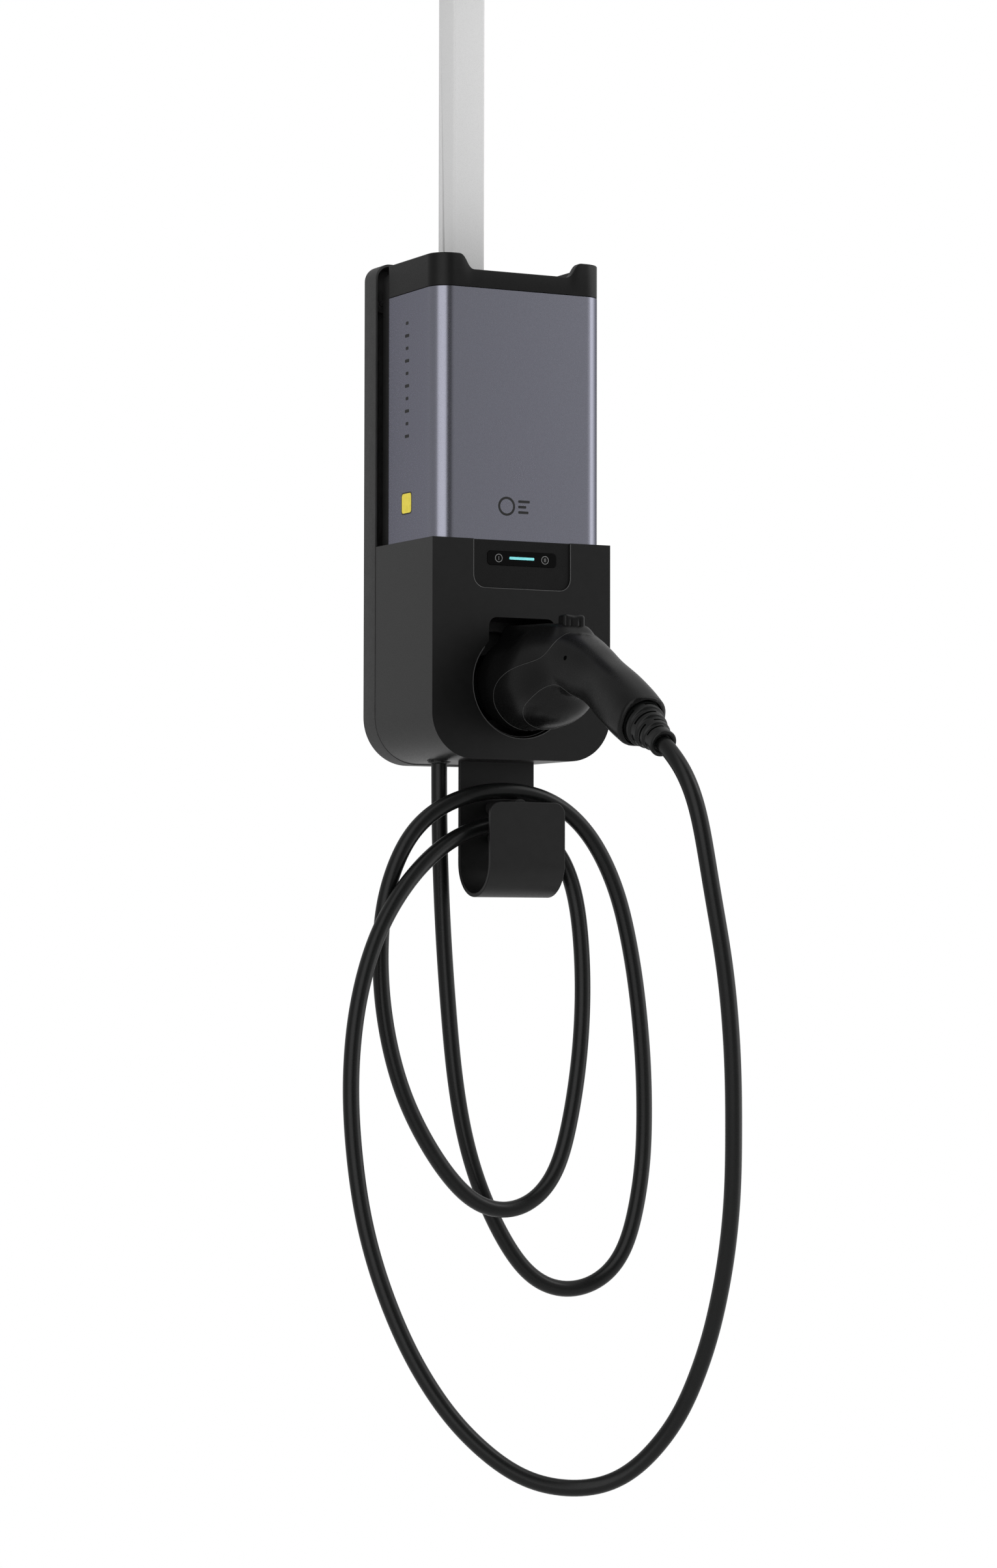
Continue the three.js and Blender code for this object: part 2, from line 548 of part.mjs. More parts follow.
const HANDLE_INSIDE = [
  { y: -84, z: -143, wide: 26, high: 20, slope: 0.08 },
  { y: -112, z: -136, wide: 25, high: 19, slope: 0.25 },
  { y: -137, z: -138, wide: 24, high: 22.5, slope: 0.36 },
  { y: -165, z: -149.5, wide: 20.6, high: 22, slope: 0.46 },
  { y: -196, z: -166.3, wide: 21.5, high: 23.9, slope: HANDLE_SLOPE },
  { y: -222, z: -181.5, wide: 22, high: 25, slope: HANDLE_SLOPE },
  { y: -252, z: -198.6, wide: 21, high: 24, slope: HANDLE_SLOPE },
];
const RIDGE = [
  { y: 8, z: -104.3, wide: 20.5, high: 20, power: 4 },
  { y: -98, z: -108.9, wide: 20.5, high: 20, power: 4 },
  { y: -108, z: -110.6, wide: 19.8, high: 19.3, power: 3.6 },
  { y: -115, z: -113.3, wide: 16.2, high: 15.8, power: 3 },
];

// The line in the side view where the nose shell meets the handle shell.
function seamRegion(shift) {
  const region = new THREE.Shape();
  region.moveTo(30, -60);
  region.lineTo(-119 - shift, -60);
  region.lineTo(-119 - shift, -95);
  region.bezierCurveTo(-119 - shift, -122 - shift, -100, -124 - shift, -81, -128 - shift);
  region.bezierCurveTo(-50, -134 - shift, -25 - shift, -145, -19 - shift, -168);
  region.lineTo(-12 - shift, -200);
  region.lineTo(30, -200);
  return alongX(region, -70, 70);
}

const PINS = [
  ['pin_earth', 3, 0, 0], ['pin_line', 3, -10, 7], ['pin_neutral', 3, 10, 7],
  ['pin_spare_left', 3, -10, -7], ['pin_spare_right', 3, 10, -7],
  ['pin_control', 1.5, -5, 14], ['pin_proximity', 1.5, 5, 14],
];

function addGunShells(gun) {
  const outside = join(loft(HEAD_OUTSIDE), loft(HANDLE_OUTSIDE), loft(RIDGE));
  const inside = join(loft(HEAD_INSIDE), loft(HANDLE_INSIDE));
  const { half, low, high, front, back } = CHANNEL;
  const channel = block(-half, half, front, back, low, high);
  const window = block(-BUTTON.half - 0.4, BUTTON.half + 0.4, BUTTON.front - 0.4,
    BUTTON.back + 0.4, BUTTON.skirt - 5, -60);
  const mouth = rodY(SLEEVE.inner + 0.4, 0, 10, 0, HOLSTER.z, 32);
  const bore = rodX(PIVOT.radius + GAP, -12.5, 12.5, PIVOT.y, PIVOT.z, 16);
  const nose = cut(outside.intersect(solid(seamRegion(0))).subtract(inside), channel, window,
    mouth, bore);
  add('gun_nose_shell', nose, MATERIAL.gunShell, gun);

  const screwBore = rodX(2.6, -40, 0, GUN_SCREW.y, GUN_SCREW.z, 16);
  const handle = cut(outside.subtract(solid(seamRegion(GAP))).subtract(inside), channel, screwBore);
  add('gun_handle_shell', handle, MATERIAL.gunHandle, gun);
  const screw = join(rodX(2.2, -24.6, -22.6, GUN_SCREW.y, GUN_SCREW.z, 16),
    rodX(1.2, -23, 16, GUN_SCREW.y, GUN_SCREW.z, 10));
  add('gun_screw', screw, MATERIAL.steel, gun);
}

function addContacts(gun) {
  const { outer, inner, front, tip } = SLEEVE;
  const sleeve = cut(solid(rodY(outer, front, tip, 0, HOLSTER.z, 32)),
    rodY(inner, front - 1, tip + 1, 0, HOLSTER.z, 32));
  add('contact_sleeve', sleeve, MATERIAL.gunShell, gun);
  const seal = new THREE.TorusGeometry(outer + 1.9, 1.5, 6, 24).rotateX(Math.PI / 2);
  add('sleeve_seal', seal.translate(0, front + 2, HOLSTER.z), MATERIAL.rubber, gun);

  const bores = PINS.map(([, radius, x, up]) => rodY(radius + GAP, -40, tip, x, HOLSTER.z + up, 12));
  const core = cut(solid(rodY(inner - GAP, -20, tip - 6, 0, HOLSTER.z, 32)), ...bores);
  add('contact_carrier', core, MATERIAL.blackShell, gun);
  for (const [name, radius, x, up] of PINS) {
    add(name, rodY(radius, -28, tip - 10, x, HOLSTER.z + up, 12), MATERIAL.brass, gun);
  }
}

function addLatch(gun) {
  const { half: reach, low: under, high: over, front: nose, back: tail } = LEVER;
  const arm = block(-reach, reach, nose, tail, under, over);
  const claw = block(-reach, reach, tail - 7, tail, under - 4.5, over);
  const hub = rodX(PIVOT.radius * 2, -reach, reach, PIVOT.y, PIVOT.z, 20);
  const lever = cut(join(arm, claw, hub), rodX(PIVOT.radius + 0.25, -9, 9, PIVOT.y, PIVOT.z, 16));
  add('latch_lever', lever, MATERIAL.steel, gun);
  add('latch_pin', rodX(PIVOT.radius, -12, 12, PIVOT.y, PIVOT.z, 16), MATERIAL.steel, gun);

  const { radius, wire, turns } = SPRING;
  const base = CHANNEL.low + wire + GAP;
  const rise = under - GAP - wire - base;
  const steps = turns * 12;
  const coil = Array.from({ length: steps + 1 }, (_, i) => {
    const angle = (i / 12) * Math.PI * 2;
    const across = radius * Math.cos(angle);
    return [across, SPRING.y + radius * Math.sin(angle), base + (rise * i) / steps];
  });
  add('latch_spring', tube(coil, wire, 5, steps), MATERIAL.steel, gun);

  const { half, front, back, high, skirt } = BUTTON;
  const groove = block(-1.2, 1.2, front - 1, back + 1, high - 2, high + 1);
  const pad = upZ(roundedBox(-half, front, half, back, sameCorners(4)), skirt, high);
  const stem = block(-4, 4, front + 2, back - 7, over + GAP, skirt + 1);
  add('thumb_button', cut(join(pad, stem), groove), MATERIAL.gunShell, gun);
}

// The collar and the strain relief stand along the handle's own line.
function addBoot(gun) {
  const end = new THREE.Group();
  end.position.set(0, HANDLE_END.y, HANDLE_END.z);
  end.rotation.x = Math.PI / 2 + HANDLE_SLOPE;
  gun.add(end);

  const ellipse = new THREE.Shape();
  ellipse.absellipse(0, 0, 20.5, 23.5, 0, Math.PI * 2);
  const collar = cut(solid(upZ(ellipse, -8, 1, 7)), rodZ(15.3, -9, 2, 0, 0, 28));
  add('handle_collar', collar, MATERIAL.gunHandle, end);

  const profile = [[0, -7], [15, -7], [15, 1.3], [19, 1.3], [18.4, 9], [16.6, 10], [16, 20],
    [14.4, 21], [13.6, 31], [12.2, 32], [10.6, BOOT_LENGTH], [0, BOOT_LENGTH]];
  add('strain_relief_boot', turned(profile), MATERIAL.rubber, end);
}

addPost();
addRearHousing();
addChassis();
addPostBrackets();
addCasing();
addTopCap();
addLowerCover();
addDisplay();
addHolster();
addHook();
addCables();
addElectrics();
const gun = new THREE.Group();
unit.add(gun);
addGunShells(gun);
addContacts(gun);
addLatch(gun);
addBoot(gun);

unit.position.set(0, -POST.y, -(POST.high + GAP + FLANGE.thick));
const model = new THREE.Group();
model.add(unit);
export default model;
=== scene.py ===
# Looks of an electric-vehicle charging unit that hangs from a square drop post.
# Every shape below is laid out in millimetres from the middle of the lower cover's front top edge,
# with +X to the right, +Y to the back and +Z up, and is placed in the frame by place().
import math

import bmesh
import bpy
import numpy as np
from mathutils import Matrix, Vector


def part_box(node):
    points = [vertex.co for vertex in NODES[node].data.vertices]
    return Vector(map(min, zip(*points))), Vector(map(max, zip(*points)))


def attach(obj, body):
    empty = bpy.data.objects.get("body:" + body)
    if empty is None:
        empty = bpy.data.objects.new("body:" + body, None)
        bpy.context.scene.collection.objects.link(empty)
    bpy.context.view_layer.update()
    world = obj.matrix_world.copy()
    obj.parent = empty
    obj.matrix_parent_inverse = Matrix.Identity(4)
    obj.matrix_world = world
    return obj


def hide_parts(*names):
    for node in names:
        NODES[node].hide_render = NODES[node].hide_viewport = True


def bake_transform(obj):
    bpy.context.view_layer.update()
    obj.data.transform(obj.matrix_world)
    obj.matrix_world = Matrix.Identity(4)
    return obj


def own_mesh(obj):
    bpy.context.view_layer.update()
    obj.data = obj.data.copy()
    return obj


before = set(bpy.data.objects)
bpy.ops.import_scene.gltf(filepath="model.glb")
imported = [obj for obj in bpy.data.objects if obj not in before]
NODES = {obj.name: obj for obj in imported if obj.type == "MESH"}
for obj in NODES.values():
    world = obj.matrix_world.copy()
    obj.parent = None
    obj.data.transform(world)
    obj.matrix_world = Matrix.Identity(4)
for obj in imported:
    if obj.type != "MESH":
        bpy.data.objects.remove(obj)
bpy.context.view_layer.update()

cover_low, cover_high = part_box("lower_cover")
ORIGIN = np.array([0.0, cover_low.y, cover_high.z])
MM = 0.001


def place(points):
    return ORIGIN + np.asarray(points, float) * MM


def spot(x, y, z):
    return Vector(place((x, y, z)))


def add_object(name, data):
    made = bpy.data.objects.new(name, data)
    bpy.context.scene.collection.objects.link(made)
    return made


# ---- driving sizes, in millimetres
GAP = 0.3  # clearance between pieces that touch
SCREW_BORE = 2.3
COVER = {"half": 100, "depth": 126.7, "drop": 218, "wall": 3, "corner": 46}
HOUSING = {"half": 100.5, "front": 127.7, "back": 155, "low": -219, "high": 288, "wall": 2.7,
           "low_corner": 48, "high_corner": 16, "edge": 2.6}
HOUSING_SCREWS = {"x": 85, "heights": (250, -175), "boss": 9, "pocket": 6}
CASING = {"half": 94.5, "front": 3.3, "back": 113.3, "low": -12, "high": 250, "wall": 2.5,
          "front_corner": 20, "back_corner": 5}
CAP = {"base": 250.3, "high": 283, "lip": 268, "wall": 10, "flat": 52, "rise": 69, "dip_back": 16,
       "edge": 1.2}
TRAY = {"half": 54.3, "drop": 48.3, "corner": 12.7, "front": 1.2, "back": 2.9}
STRIP = {"half": 38.5, "low": -25, "high": -11.4, "corner": 3.5, "front": 0.8, "back": 1.8}
LIGHT_BAR = {"half": 13.9, "low": -19.05, "high": -16.35, "corner": 0.8}
ICONS = {"x": 26, "z": -18.2, "front": 0.74}
HOLSTER = {"z": -142, "radius": 55, "depth": 77, "wall": 3}
BAY = {"half": 37.2, "high": -77, "corner": 9, "depth": 59}
HOOK = {"half": 42, "thick": 4, "strap": 53, "plate": -12.7, "top": -260, "bend": -319, "tail": 96,
        "corner": 12}
HOOK_SCREWS = {"x": 24, "y": 80}
PEGS = {"x": -6, "radius": 4.6, "edge": 0.6}
PEG_SLEEVES = [("upper", -265.5, 7.4, 1.2), ("lower", -294.5, 5.35, 0)]  # height, radius, lift
POST = {"half": 18, "wall": 2.5, "corner": 3, "y": 134, "low": -60, "high": 620}
POST_BOLTS = {"y": 135.8, "heights": (60, 235), "bore": 2.8}
FLANGE = {"half": 50, "thick": 8, "corner": 10, "hole": 4.5, "spread": 37}
SUPPLY_INLET = {"y": 143.7, "radius": 5.1}
CABLE_RADIUS = 8
CABLE_EXIT = (-55, 73)
GLAND_RADIUS = 12.1
GRIP_PROUD = 0.45  # how far the grip stands outside the nose shell
GUN_SCREW = {"y": -138, "z": -126, "deep": 40}
LATCH_PIN = {"y": -30, "z": -101.75, "half": 12.5, "bore": 2.3}
CHANNEL = {"half": 8, "front": -112.4, "back": 20, "low": -112, "high": -94}
HANDLE_SLOPE = math.radians(29)
HANDLE_END = (-240.5, -192.2)
PRINT_PROUD = 0.06
FLOOR = {"z": -1330, "radius": 2200}

# ---- camera
CAMERA = {"place": (-1973.7, -3696.45, -412.93), "yaw": 27.7811, "pitch": 2.3396, "roll": 0.1004}


def add_camera():
    data = bpy.data.cameras.new("photo_camera")
    data.sensor_width = 36
    data.lens = 97.18
    data.clip_end = 100
    camera = add_object("photo_camera", data)
    turn = Matrix.Rotation(math.radians(-CAMERA["yaw"]), 4, "Z")
    tilt = Matrix.Rotation(math.radians(90 + CAMERA["pitch"]), 4, "X")
    roll = Matrix.Rotation(math.radians(CAMERA["roll"]), 4, "Z")
    camera.matrix_world = Matrix.Translation(spot(*CAMERA["place"])) @ turn @ tilt @ roll
    bpy.context.scene.camera = camera


# ---- materials
def material(name, color, roughness, metallic=0.0, specular=0.5):
    made = bpy.data.materials.new(name)
    made.use_nodes = True
    shader = surface(made)
    shader.inputs["Base Color"].default_value = (*color, 1)
    shader.inputs["Roughness"].default_value = roughness
    shader.inputs["Metallic"].default_value = metallic
    shader.inputs["Specular IOR Level"].default_value = specular
    return made


def node(made, kind, **values):
    new = made.node_tree.nodes.new(kind)
    for key, value in values.items():
        new.inputs[key.replace("_", " ")].default_value = value
    return new


def surface(made):
    return made.node_tree.nodes["Principled BSDF"]


def join(made, *wires):
    """Links nodes; each wire is (node, its output, node, its input)."""
    for source, output, target, into in wires:
        made.node_tree.links.new(source.outputs[output], target.inputs[into])


def noise(made, scale, detail):
    """A noise pattern fixed to the piece; scale is in waves per metre."""
    where = node(made, "ShaderNodeTexCoord")
    pattern = node(made, "ShaderNodeTexNoise", Scale=scale, Detail=detail, Roughness=0.5)
    join(made, (where, "Object", pattern, "Vector"))
    return pattern


def grain(made, scale, height, detail=2.0):
    """Fine bumps; height is in metres."""
    bump = node(made, "ShaderNodeBump", Strength=1.0, Distance=height)
    join(made, (noise(made, scale, detail), "Fac", bump, "Height"),
         (bump, "Normal", surface(made), "Normal"))
    return made


def vary_roughness(made, scale, low, high):
    spread = node(made, "ShaderNodeMapRange", From_Min=0.3, From_Max=0.7, To_Min=low, To_Max=high)
    join(made, (noise(made, scale, 4.0), "Fac", spread, "Value"),
         (spread, "Result", surface(made), "Roughness"))
    return made


def vary_color(made, scale, low, high, near=0.35, far=0.65, detail=3.0):
    """Runs between two colours with the noise; near and far say how soft the change is."""
    ramp = node(made, "ShaderNodeValToRGB")
    for stop, at, color in zip(ramp.color_ramp.elements, (near, far), (low, high)):
        stop.position = at
        stop.color = (*color, 1)
    join(made, (noise(made, scale, detail), "Fac", ramp, "Fac"),
         (ramp, "Color", surface(made), "Base Color"))
    return made


def grey(level, tint=(1, 1, 1)):
    return tuple(level * part for part in tint)


def plastic(name, level, roughness, specular, bump=0.00004, scale=2600, tint=(1, 1, 1)):
    made = material(name, grey(level, tint), roughness, specular=specular)
    vary_color(made, 90, grey(level * 0.9, tint), grey(level * 1.12, tint))
    vary_roughness(made, 700, roughness - 0.05, roughness + 0.05)
    return grain(made, scale, bump)


LILAC = (0.93, 0.94, 1.12)
CABLE_TINT = (0.94, 1.02, 1.0)


def anodised():
    made = material("satin_aluminium", grey(0.27, LILAC), 0.24, metallic=1.0)
    surface(made).inputs["Specular Tint"].default_value = (0.35, 0.35, 0.36, 1)
    vary_color(made, 2200, grey(0.235, LILAC), grey(0.30, LILAC), 0.3, 0.7, 4.0)
    vary_roughness(made, 1300, 0.21, 0.29)
    return grain(made, 3200, 0.000015, 3.0)


def powder_coat():
    made = material("post_paint", grey(0.6), 0.5, specular=0.4)
    vary_color(made, 2400, grey(0.46), grey(0.70), 0.30, 0.45, 5.0)
    return grain(made, 1700, 0.00005)


def lit_bar():
    made = material("led_cyan", (0.20, 0.62, 0.64), 0.4)
    shader = surface(made)
    vary_color(made, 160, (0.19, 0.60, 0.63), (0.22, 0.66, 0.67))
    shader.inputs["Emission Color"].default_value = (0.13, 0.62, 0.64, 1)
    shader.inputs["Emission Strength"].default_value = 0.3
    return made


MATERIAL = {
    "post_paint": powder_coat(),
    "dark_housing": plastic("dark_housing", 0.022, 0.50, 0.36),
    "zinc_steel": vary_roughness(material("zinc_steel", grey(0.55), 0.32, 1.0), 900, 0.26, 0.42),
    "black_frame": plastic("black_frame", 0.008, 0.55, 0.25),
    "satin_aluminium": anodised(),
    "cap_black": plastic("cap_black", 0.0028, 0.42, 0.22, 0.00007, 1900),
    "cover_black": plastic("cover_black", 0.004, 0.33, 0.31),
    "textured_black": plastic("textured_black", 0.0035, 0.62, 0.16, 0.00016, 1300),
    "gloss_strip": vary_roughness(
        material("gloss_strip", grey(0.0012), 0.08, specular=0.1), 300, 0.06, 0.11),
    "led_cyan": lit_bar(),
    "circuit_board": plastic("circuit_board", 0.05, 0.5, 0.4),
    "device_plastic": plastic("device_plastic", 0.55, 0.5, 0.4),
    "hook_black": plastic("hook_black", 0.005, 0.42, 0.30, 0.00005, 1500),
    "peg_rubber": plastic("peg_rubber", 0.010, 0.65, 0.3),
    "cable_rubber": plastic("cable_rubber", 0.0038, 0.32, 0.26, 0.00003, 1500, CABLE_TINT),
    "gun_black": plastic("gun_black", 0.0022, 0.32, 0.20, 0.00002, 2400),
    "gun_grip": plastic("gun_grip", 0.0024, 0.31, 0.21, 0.00002, 2400),
    "contact_brass": vary_roughness(
        material("contact_brass", (0.72, 0.55, 0.25), 0.3, 1.0), 700, 0.22, 0.38),
}
PRINT_BLACK = plastic("print_black", 0.012, 0.6, 0.3)
PRINT_GREY = plastic("print_grey", 0.16, 0.6, 0.3)
# A lighter grey for slim beads along edges: a painted highlight where rounded edges catch the light.
HIGHLIGHT_GREY = plastic("painted_highlight_grey", 0.035, 0.35, 0.6)
STICKER = plastic("sticker_yellow", 0.5, 0.45, 0.4)
vary_color(STICKER, 300, (0.80, 0.66, 0.05), (0.90, 0.75, 0.08))


# ---- making pieces
def new_object(name, points, faces, smooth=35.0):
    """A mesh object from points in millimetres; edges sharper than `smooth` degrees stay sharp."""
    mesh = bpy.data.meshes.new(name)
    mesh.from_pydata([tuple(p) for p in place(points)], [], [tuple(map(int, f)) for f in faces])
    mesh.validate()
    form = bmesh.new()
    form.from_mesh(mesh)
    bmesh.ops.recalc_face_normals(form, faces=form.faces)
    form.to_mesh(mesh)
    form.free()
    mesh.shade_smooth()
    mesh.set_sharp_from_angle(angle=math.radians(smooth))
    return add_object(name, mesh)


def dress(made, slot, nodes=(), body="root", finish=None):
    """Gives the piece its material and body, and hides the CAD nodes it stands for."""
    made.data.materials.clear()
    made.data.materials.append(finish or MATERIAL[slot])
    if nodes:
        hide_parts(*nodes)
    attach(made, body)


def bake(made):
    """Applies the object's modifiers."""
    graph = bpy.context.evaluated_depsgraph_get()
    old = made.data
    made.data = bpy.data.meshes.new_from_object(made.evaluated_get(graph))
    made.modifiers.clear()
    bpy.data.meshes.remove(old)


def combine(made, operation, *tools):
    for tool in tools:
        step = made.modifiers.new("step", "BOOLEAN")
        step.operation = operation
        step.solver = "EXACT"
        step.object = tool
    bake(made)
    for tool in tools:
        bpy.data.objects.remove(tool)


def cut(made, *tools):
    combine(made, "DIFFERENCE", *tools)


def sharpen(made, angle):
    made.data.set_sharp_from_angle(angle=math.radians(angle))


def soften(made, width, segments=3, angle=35):
    """Rounds the sharp edges and keeps the flat faces flat."""
    bevel = made.modifiers.new("bevel", "BEVEL")
    bevel.width = width * MM
    bevel.segments = segments
    bevel.limit_method = "ANGLE"
    bevel.angle_limit = math.radians(angle)
    bevel.use_clamp_overlap = True
    bevel.miter_outer = "MITER_ARC"
    made.data.shade_smooth()
    weight = made.modifiers.new("weight", "WEIGHTED_NORMAL")
    weight.keep_sharp = False
    weight.weight = 100


AXES = {"x": (1, 2, 0), "y": (0, 2, 1), "z": (0, 1, 2)}


def lay(flat, height, axis):
    """Points drawn in a plane, set at a height along the axis across it."""
    u, v, w = AXES[axis]
    out = np.zeros((len(flat), 3))
    out[:, u] = np.asarray(flat)[:, 0]
    out[:, v] = np.asarray(flat)[:, 1]
    out[:, w] = height
    return out


def arc(cx, cy, radius, start, end, steps):
    turn = np.radians(np.linspace(start, end, steps + 1))
    return [(cx + radius * math.cos(a), cy + radius * math.sin(a)) for a in turn]


def rounded(x0, y0, x1, y1, radii, steps):
    """A rectangle with rounded corners: low left, low right, high right, high left."""
    a, b, c, d = radii
    corners = [(x0 + a, y0 + a, a, 180), (x1 - b, y0 + b, b, 270),
               (x1 - c, y1 - c, c, 0), (x0 + d, y1 - d, d, 90)]
    points = []
    for cx, cy, radius, start in corners:
        points += arc(cx, cy, radius, start, start + 90, steps) if radius else [(cx, cy)]
    return points


def ring_faces(rows, count):
    """Quads between rows of points that each go once round."""
    faces = []
    for low in range(0, (rows - 1) * count, count):
        for i in range(count):
            j = (i + 1) % count
            faces.append((low + i, low + j, low + count + j, low + count + i))
    return faces


def stack(name, rings, loop=False):
    """A skin through rings of equal count, with closed ends, or with the last joined to the first."""
    count = len(rings[0])
    faces = ring_faces(len(rings), count)
    last = (len(rings) - 1) * count
    if loop:
        faces += [(last + i, last + (i + 1) % count, (i + 1) % count, i) for i in range(count)]
    else:
        faces += [tuple(range(count)), tuple(range(last, last + count))]
    return new_object(name, np.concatenate(rings), faces)


def prism(name, outline, start, end, axis):
    return stack(name, [lay(outline, start, axis), lay(outline, end, axis)])


def block(name, x0, x1, y0, y1, z0, z1):
    return prism(name, [(x0, y0), (x1, y0), (x1, y1), (x0, y1)], z0, z1, "z")


def rod(name, radius, start, end, a, b, axis, sides=96):
    """A round bar along the axis; a and b are its place in the other two directions."""
    return prism(name, arc(a, b, radius, 0, 360, sides)[:-1], start, end, axis)


def washer(name, a, b, rows, sides):
    """A ring about Y round (a, b), through rows of (radius, y)."""
    rings = [lay(arc(a, b, radius, 0, 360, sides)[:-1], y, "y") for radius, y in rows]
    return stack(name, rings, loop=True)


def bores(radius, start, end, places, axis, sides=24):
    return [rod("bore", radius, start, end, a, b, axis, sides) for a, b in places]


def hollow_bar(name, outline, wall, low, high, lip, inner_lip):
    """An upright tube with chamfered rims; outline(inset) draws it from above."""
    rows = [(lip, low), (0, low + lip), (0, high - lip), (lip, high), (wall - inner_lip, high),
            (wall, high - lip), (wall, low + lip), (wall - inner_lip, low)]
    return stack(name, [lay(outline(inset), z, "z") for inset, z in rows], loop=True)


def edge_round(radius, steps):
    """(inset, rise) pairs round a quarter edge."""
    turn = np.radians(np.linspace(0, 90, steps + 1))
    return [(radius * (1 - math.cos(a)), radius * math.sin(a)) for a in turn]


def round_corners(points, radii, steps):
    """Rounds the corners of an open line of (a, b) points, with a radius for each."""
    points = [np.asarray(p, float) for p in points]
    out = [points[0]]
    for before, here, after, wanted in zip(points, points[1:], points[2:], radii[1:]):
        back, forth = before - here, after - here
        long_back, long_forth = np.linalg.norm(back), np.linalg.norm(forth)
        back, forth = back / long_back, forth / long_forth
        half = math.acos(np.clip(back @ forth, -1, 1)) / 2
        reach = min(wanted / max(math.tan(half), 1e-3), long_back * 0.49, long_forth * 0.49)
        start, end = here + back * reach, here + forth * reach
        for t in np.linspace(0, 1, steps + 1):
            out.append((1 - t) ** 2 * start + 2 * t * (1 - t) * here + t ** 2 * end)
    out.append(points[-1])
    return out


def tube(name, path, radius, sides):
    """A round bar along points that are close together."""
    path = np.asarray(path, float)
    along = np.gradient(path, axis=0)
    along /= np.linalg.norm(along, axis=1)[:, None]
    side = np.cross(along[0], (1, 0, 0))
    side /= np.linalg.norm(side)
    turn = np.linspace(0, 2 * math.pi, sides, endpoint=False)
    rings = []
    for centre, forward in zip(path, along):
        side = side - forward * (side @ forward)
        side /= np.linalg.norm(side)
        other = np.cross(forward, side)
        rings.append(centre + radius * (np.cos(turn)[:, None] * side + np.sin(turn)[:, None] * other))
    return stack(name, rings)


def subdivide(outline, counts):
    """Splits each side of a closed outline into that many parts."""
    out = []
    for i, parts in enumerate(counts):
        start, end = np.array(outline[i]), np.array(outline[(i + 1) % len(outline)])
        out += [start + (end - start) * k / parts for k in range(parts)]
    return np.array(out)


# ---- the cable
# The CAD cable's route: boot, big loop, lower peg, inner loop, upper peg, grommet. Its two crowns
# are drawn higher here, because smoothing lowers them.
CABLE_ROUTE = [
    (0, -280.99, -214.65), (0, -291.23, -220.32), (1.5, -305.5, -231), (5, -317.5, -248.5),
    (10, -325, -273), (28, -322, -353), (46, -315, -425), (60, -304, -499), (70, -290, -573),
    (78, -273, -647), (82, -248, -722), (80, -215, -797), (65, -177, -867), (24, -140, -917),
    (-41, -105, -917), (-96, -75, -874), (-135, -52, -815), (-163, -35, -747), (-182, -23, -675),
    (-191, -15, -600), (-193, -12, -525), (-183, -10, -450), (-158, -6, -383), (-115, 2, -328),
    (-68, 13, -295.2), (-31, 20, -282.4), (0, 22, -279.2), (27, 22, -285.4), (50, 22, -302),
    (65, 22, -327), (74, 22, -357), (81, 22, -428), (78, 22, -507), (65, 22, -584),
    (50, 22, -630), (26, 21, -656), (-8, 20, -666), (-42, 20, -656), (-66, 20, -634),
    (-88, 19, -607), (-118, 19, -555), (-138, 18, -495), (-148, 16, -425), (-143, 14, -351),
    (-113, 12, -286.5), (-72, 10, -258.5), (-37, 9, -249.3), (-5, 9, -247.5), (36, 8, -256),
    (76, 8, -284.5), (110, 10, -338), (130, 13, -401), (145, 18, -479), (155, 27, -559),
    (156, 36, -639), (138, 43, -716), (114, 46, -740), (81, 50, -749), (48, 53, -740),
    (24, 56, -716), (-10, 60, -655), (-28, 64, -600), (-39, 67, -538), (-46, 70, -460),
    (-51, 72, -381), (-54, 73, -303), (-55, 73, -240), (-55, 73, -220.3),
]


def centripetal(points, parts):
    """A centripetal Catmull-Rom curve through the points."""
    points = np.asarray(points, float)
    points = np.vstack([2 * points[0] - points[1], points, 2 * points[-1] - points[-2]])
    out = []
    for a, b, c, d in zip(points, points[1:], points[2:], points[3:]):
        ta = 0.0
        tb = ta + np.linalg.norm(b - a) ** 0.5
        tc = tb + np.linalg.norm(c - b) ** 0.5
        td = tc + np.linalg.norm(d - c) ** 0.5
        t = np.linspace(tb, tc, parts, endpoint=False)[:, None]
        ab = (tb - t) / (tb - ta) * a + (t - ta) / (tb - ta) * b
        bc = (tc - t) / (tc - tb) * b + (t - tb) / (tc - tb) * c
        cd = (td - t) / (td - tc) * c + (t - tc) / (td - tc) * d
        low = (tc - t) / (tc - ta) * ab + (t - ta) / (tc - ta) * bc
        high = (td - t) / (td - tb) * bc + (t - tb) / (td - tb) * cd
        out.append((tc - t) / (tc - tb) * low + (t - tb) / (tc - tb) * high)
    return np.vstack(out + [points[-2:-1]])


def even(path, step):
    """The same line with its points evenly spaced."""
    run = np.concatenate([[0], np.cumsum(np.linalg.norm(np.diff(path, axis=0), axis=1))])
    want = np.linspace(0, run[-1], int(round(run[-1] / step)) + 1)
    return np.stack([np.interp(want, run, path[:, k]) for k in range(path.shape[1])], 1)


CABLE_STEP = 5
SMOOTHING = 30


def add_cable():
    path = even(centripetal(CABLE_ROUTE, 16), CABLE_STEP)
    for _ in range(SMOOTHING):
        path[2:-2] += 0.5 * ((path[1:-3] + path[3:-1]) / 2 - path[2:-2])
    made = tube("charging_cable_skin", path, CABLE_RADIUS, 24)
    made.data.materials.append(MATERIAL["cable_rubber"])
    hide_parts("charging_cable")
    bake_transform(made)
    centres = place(path)
    length = float(np.linalg.norm(np.diff(centres, axis=0), axis=1).sum())
    return made, centres, length


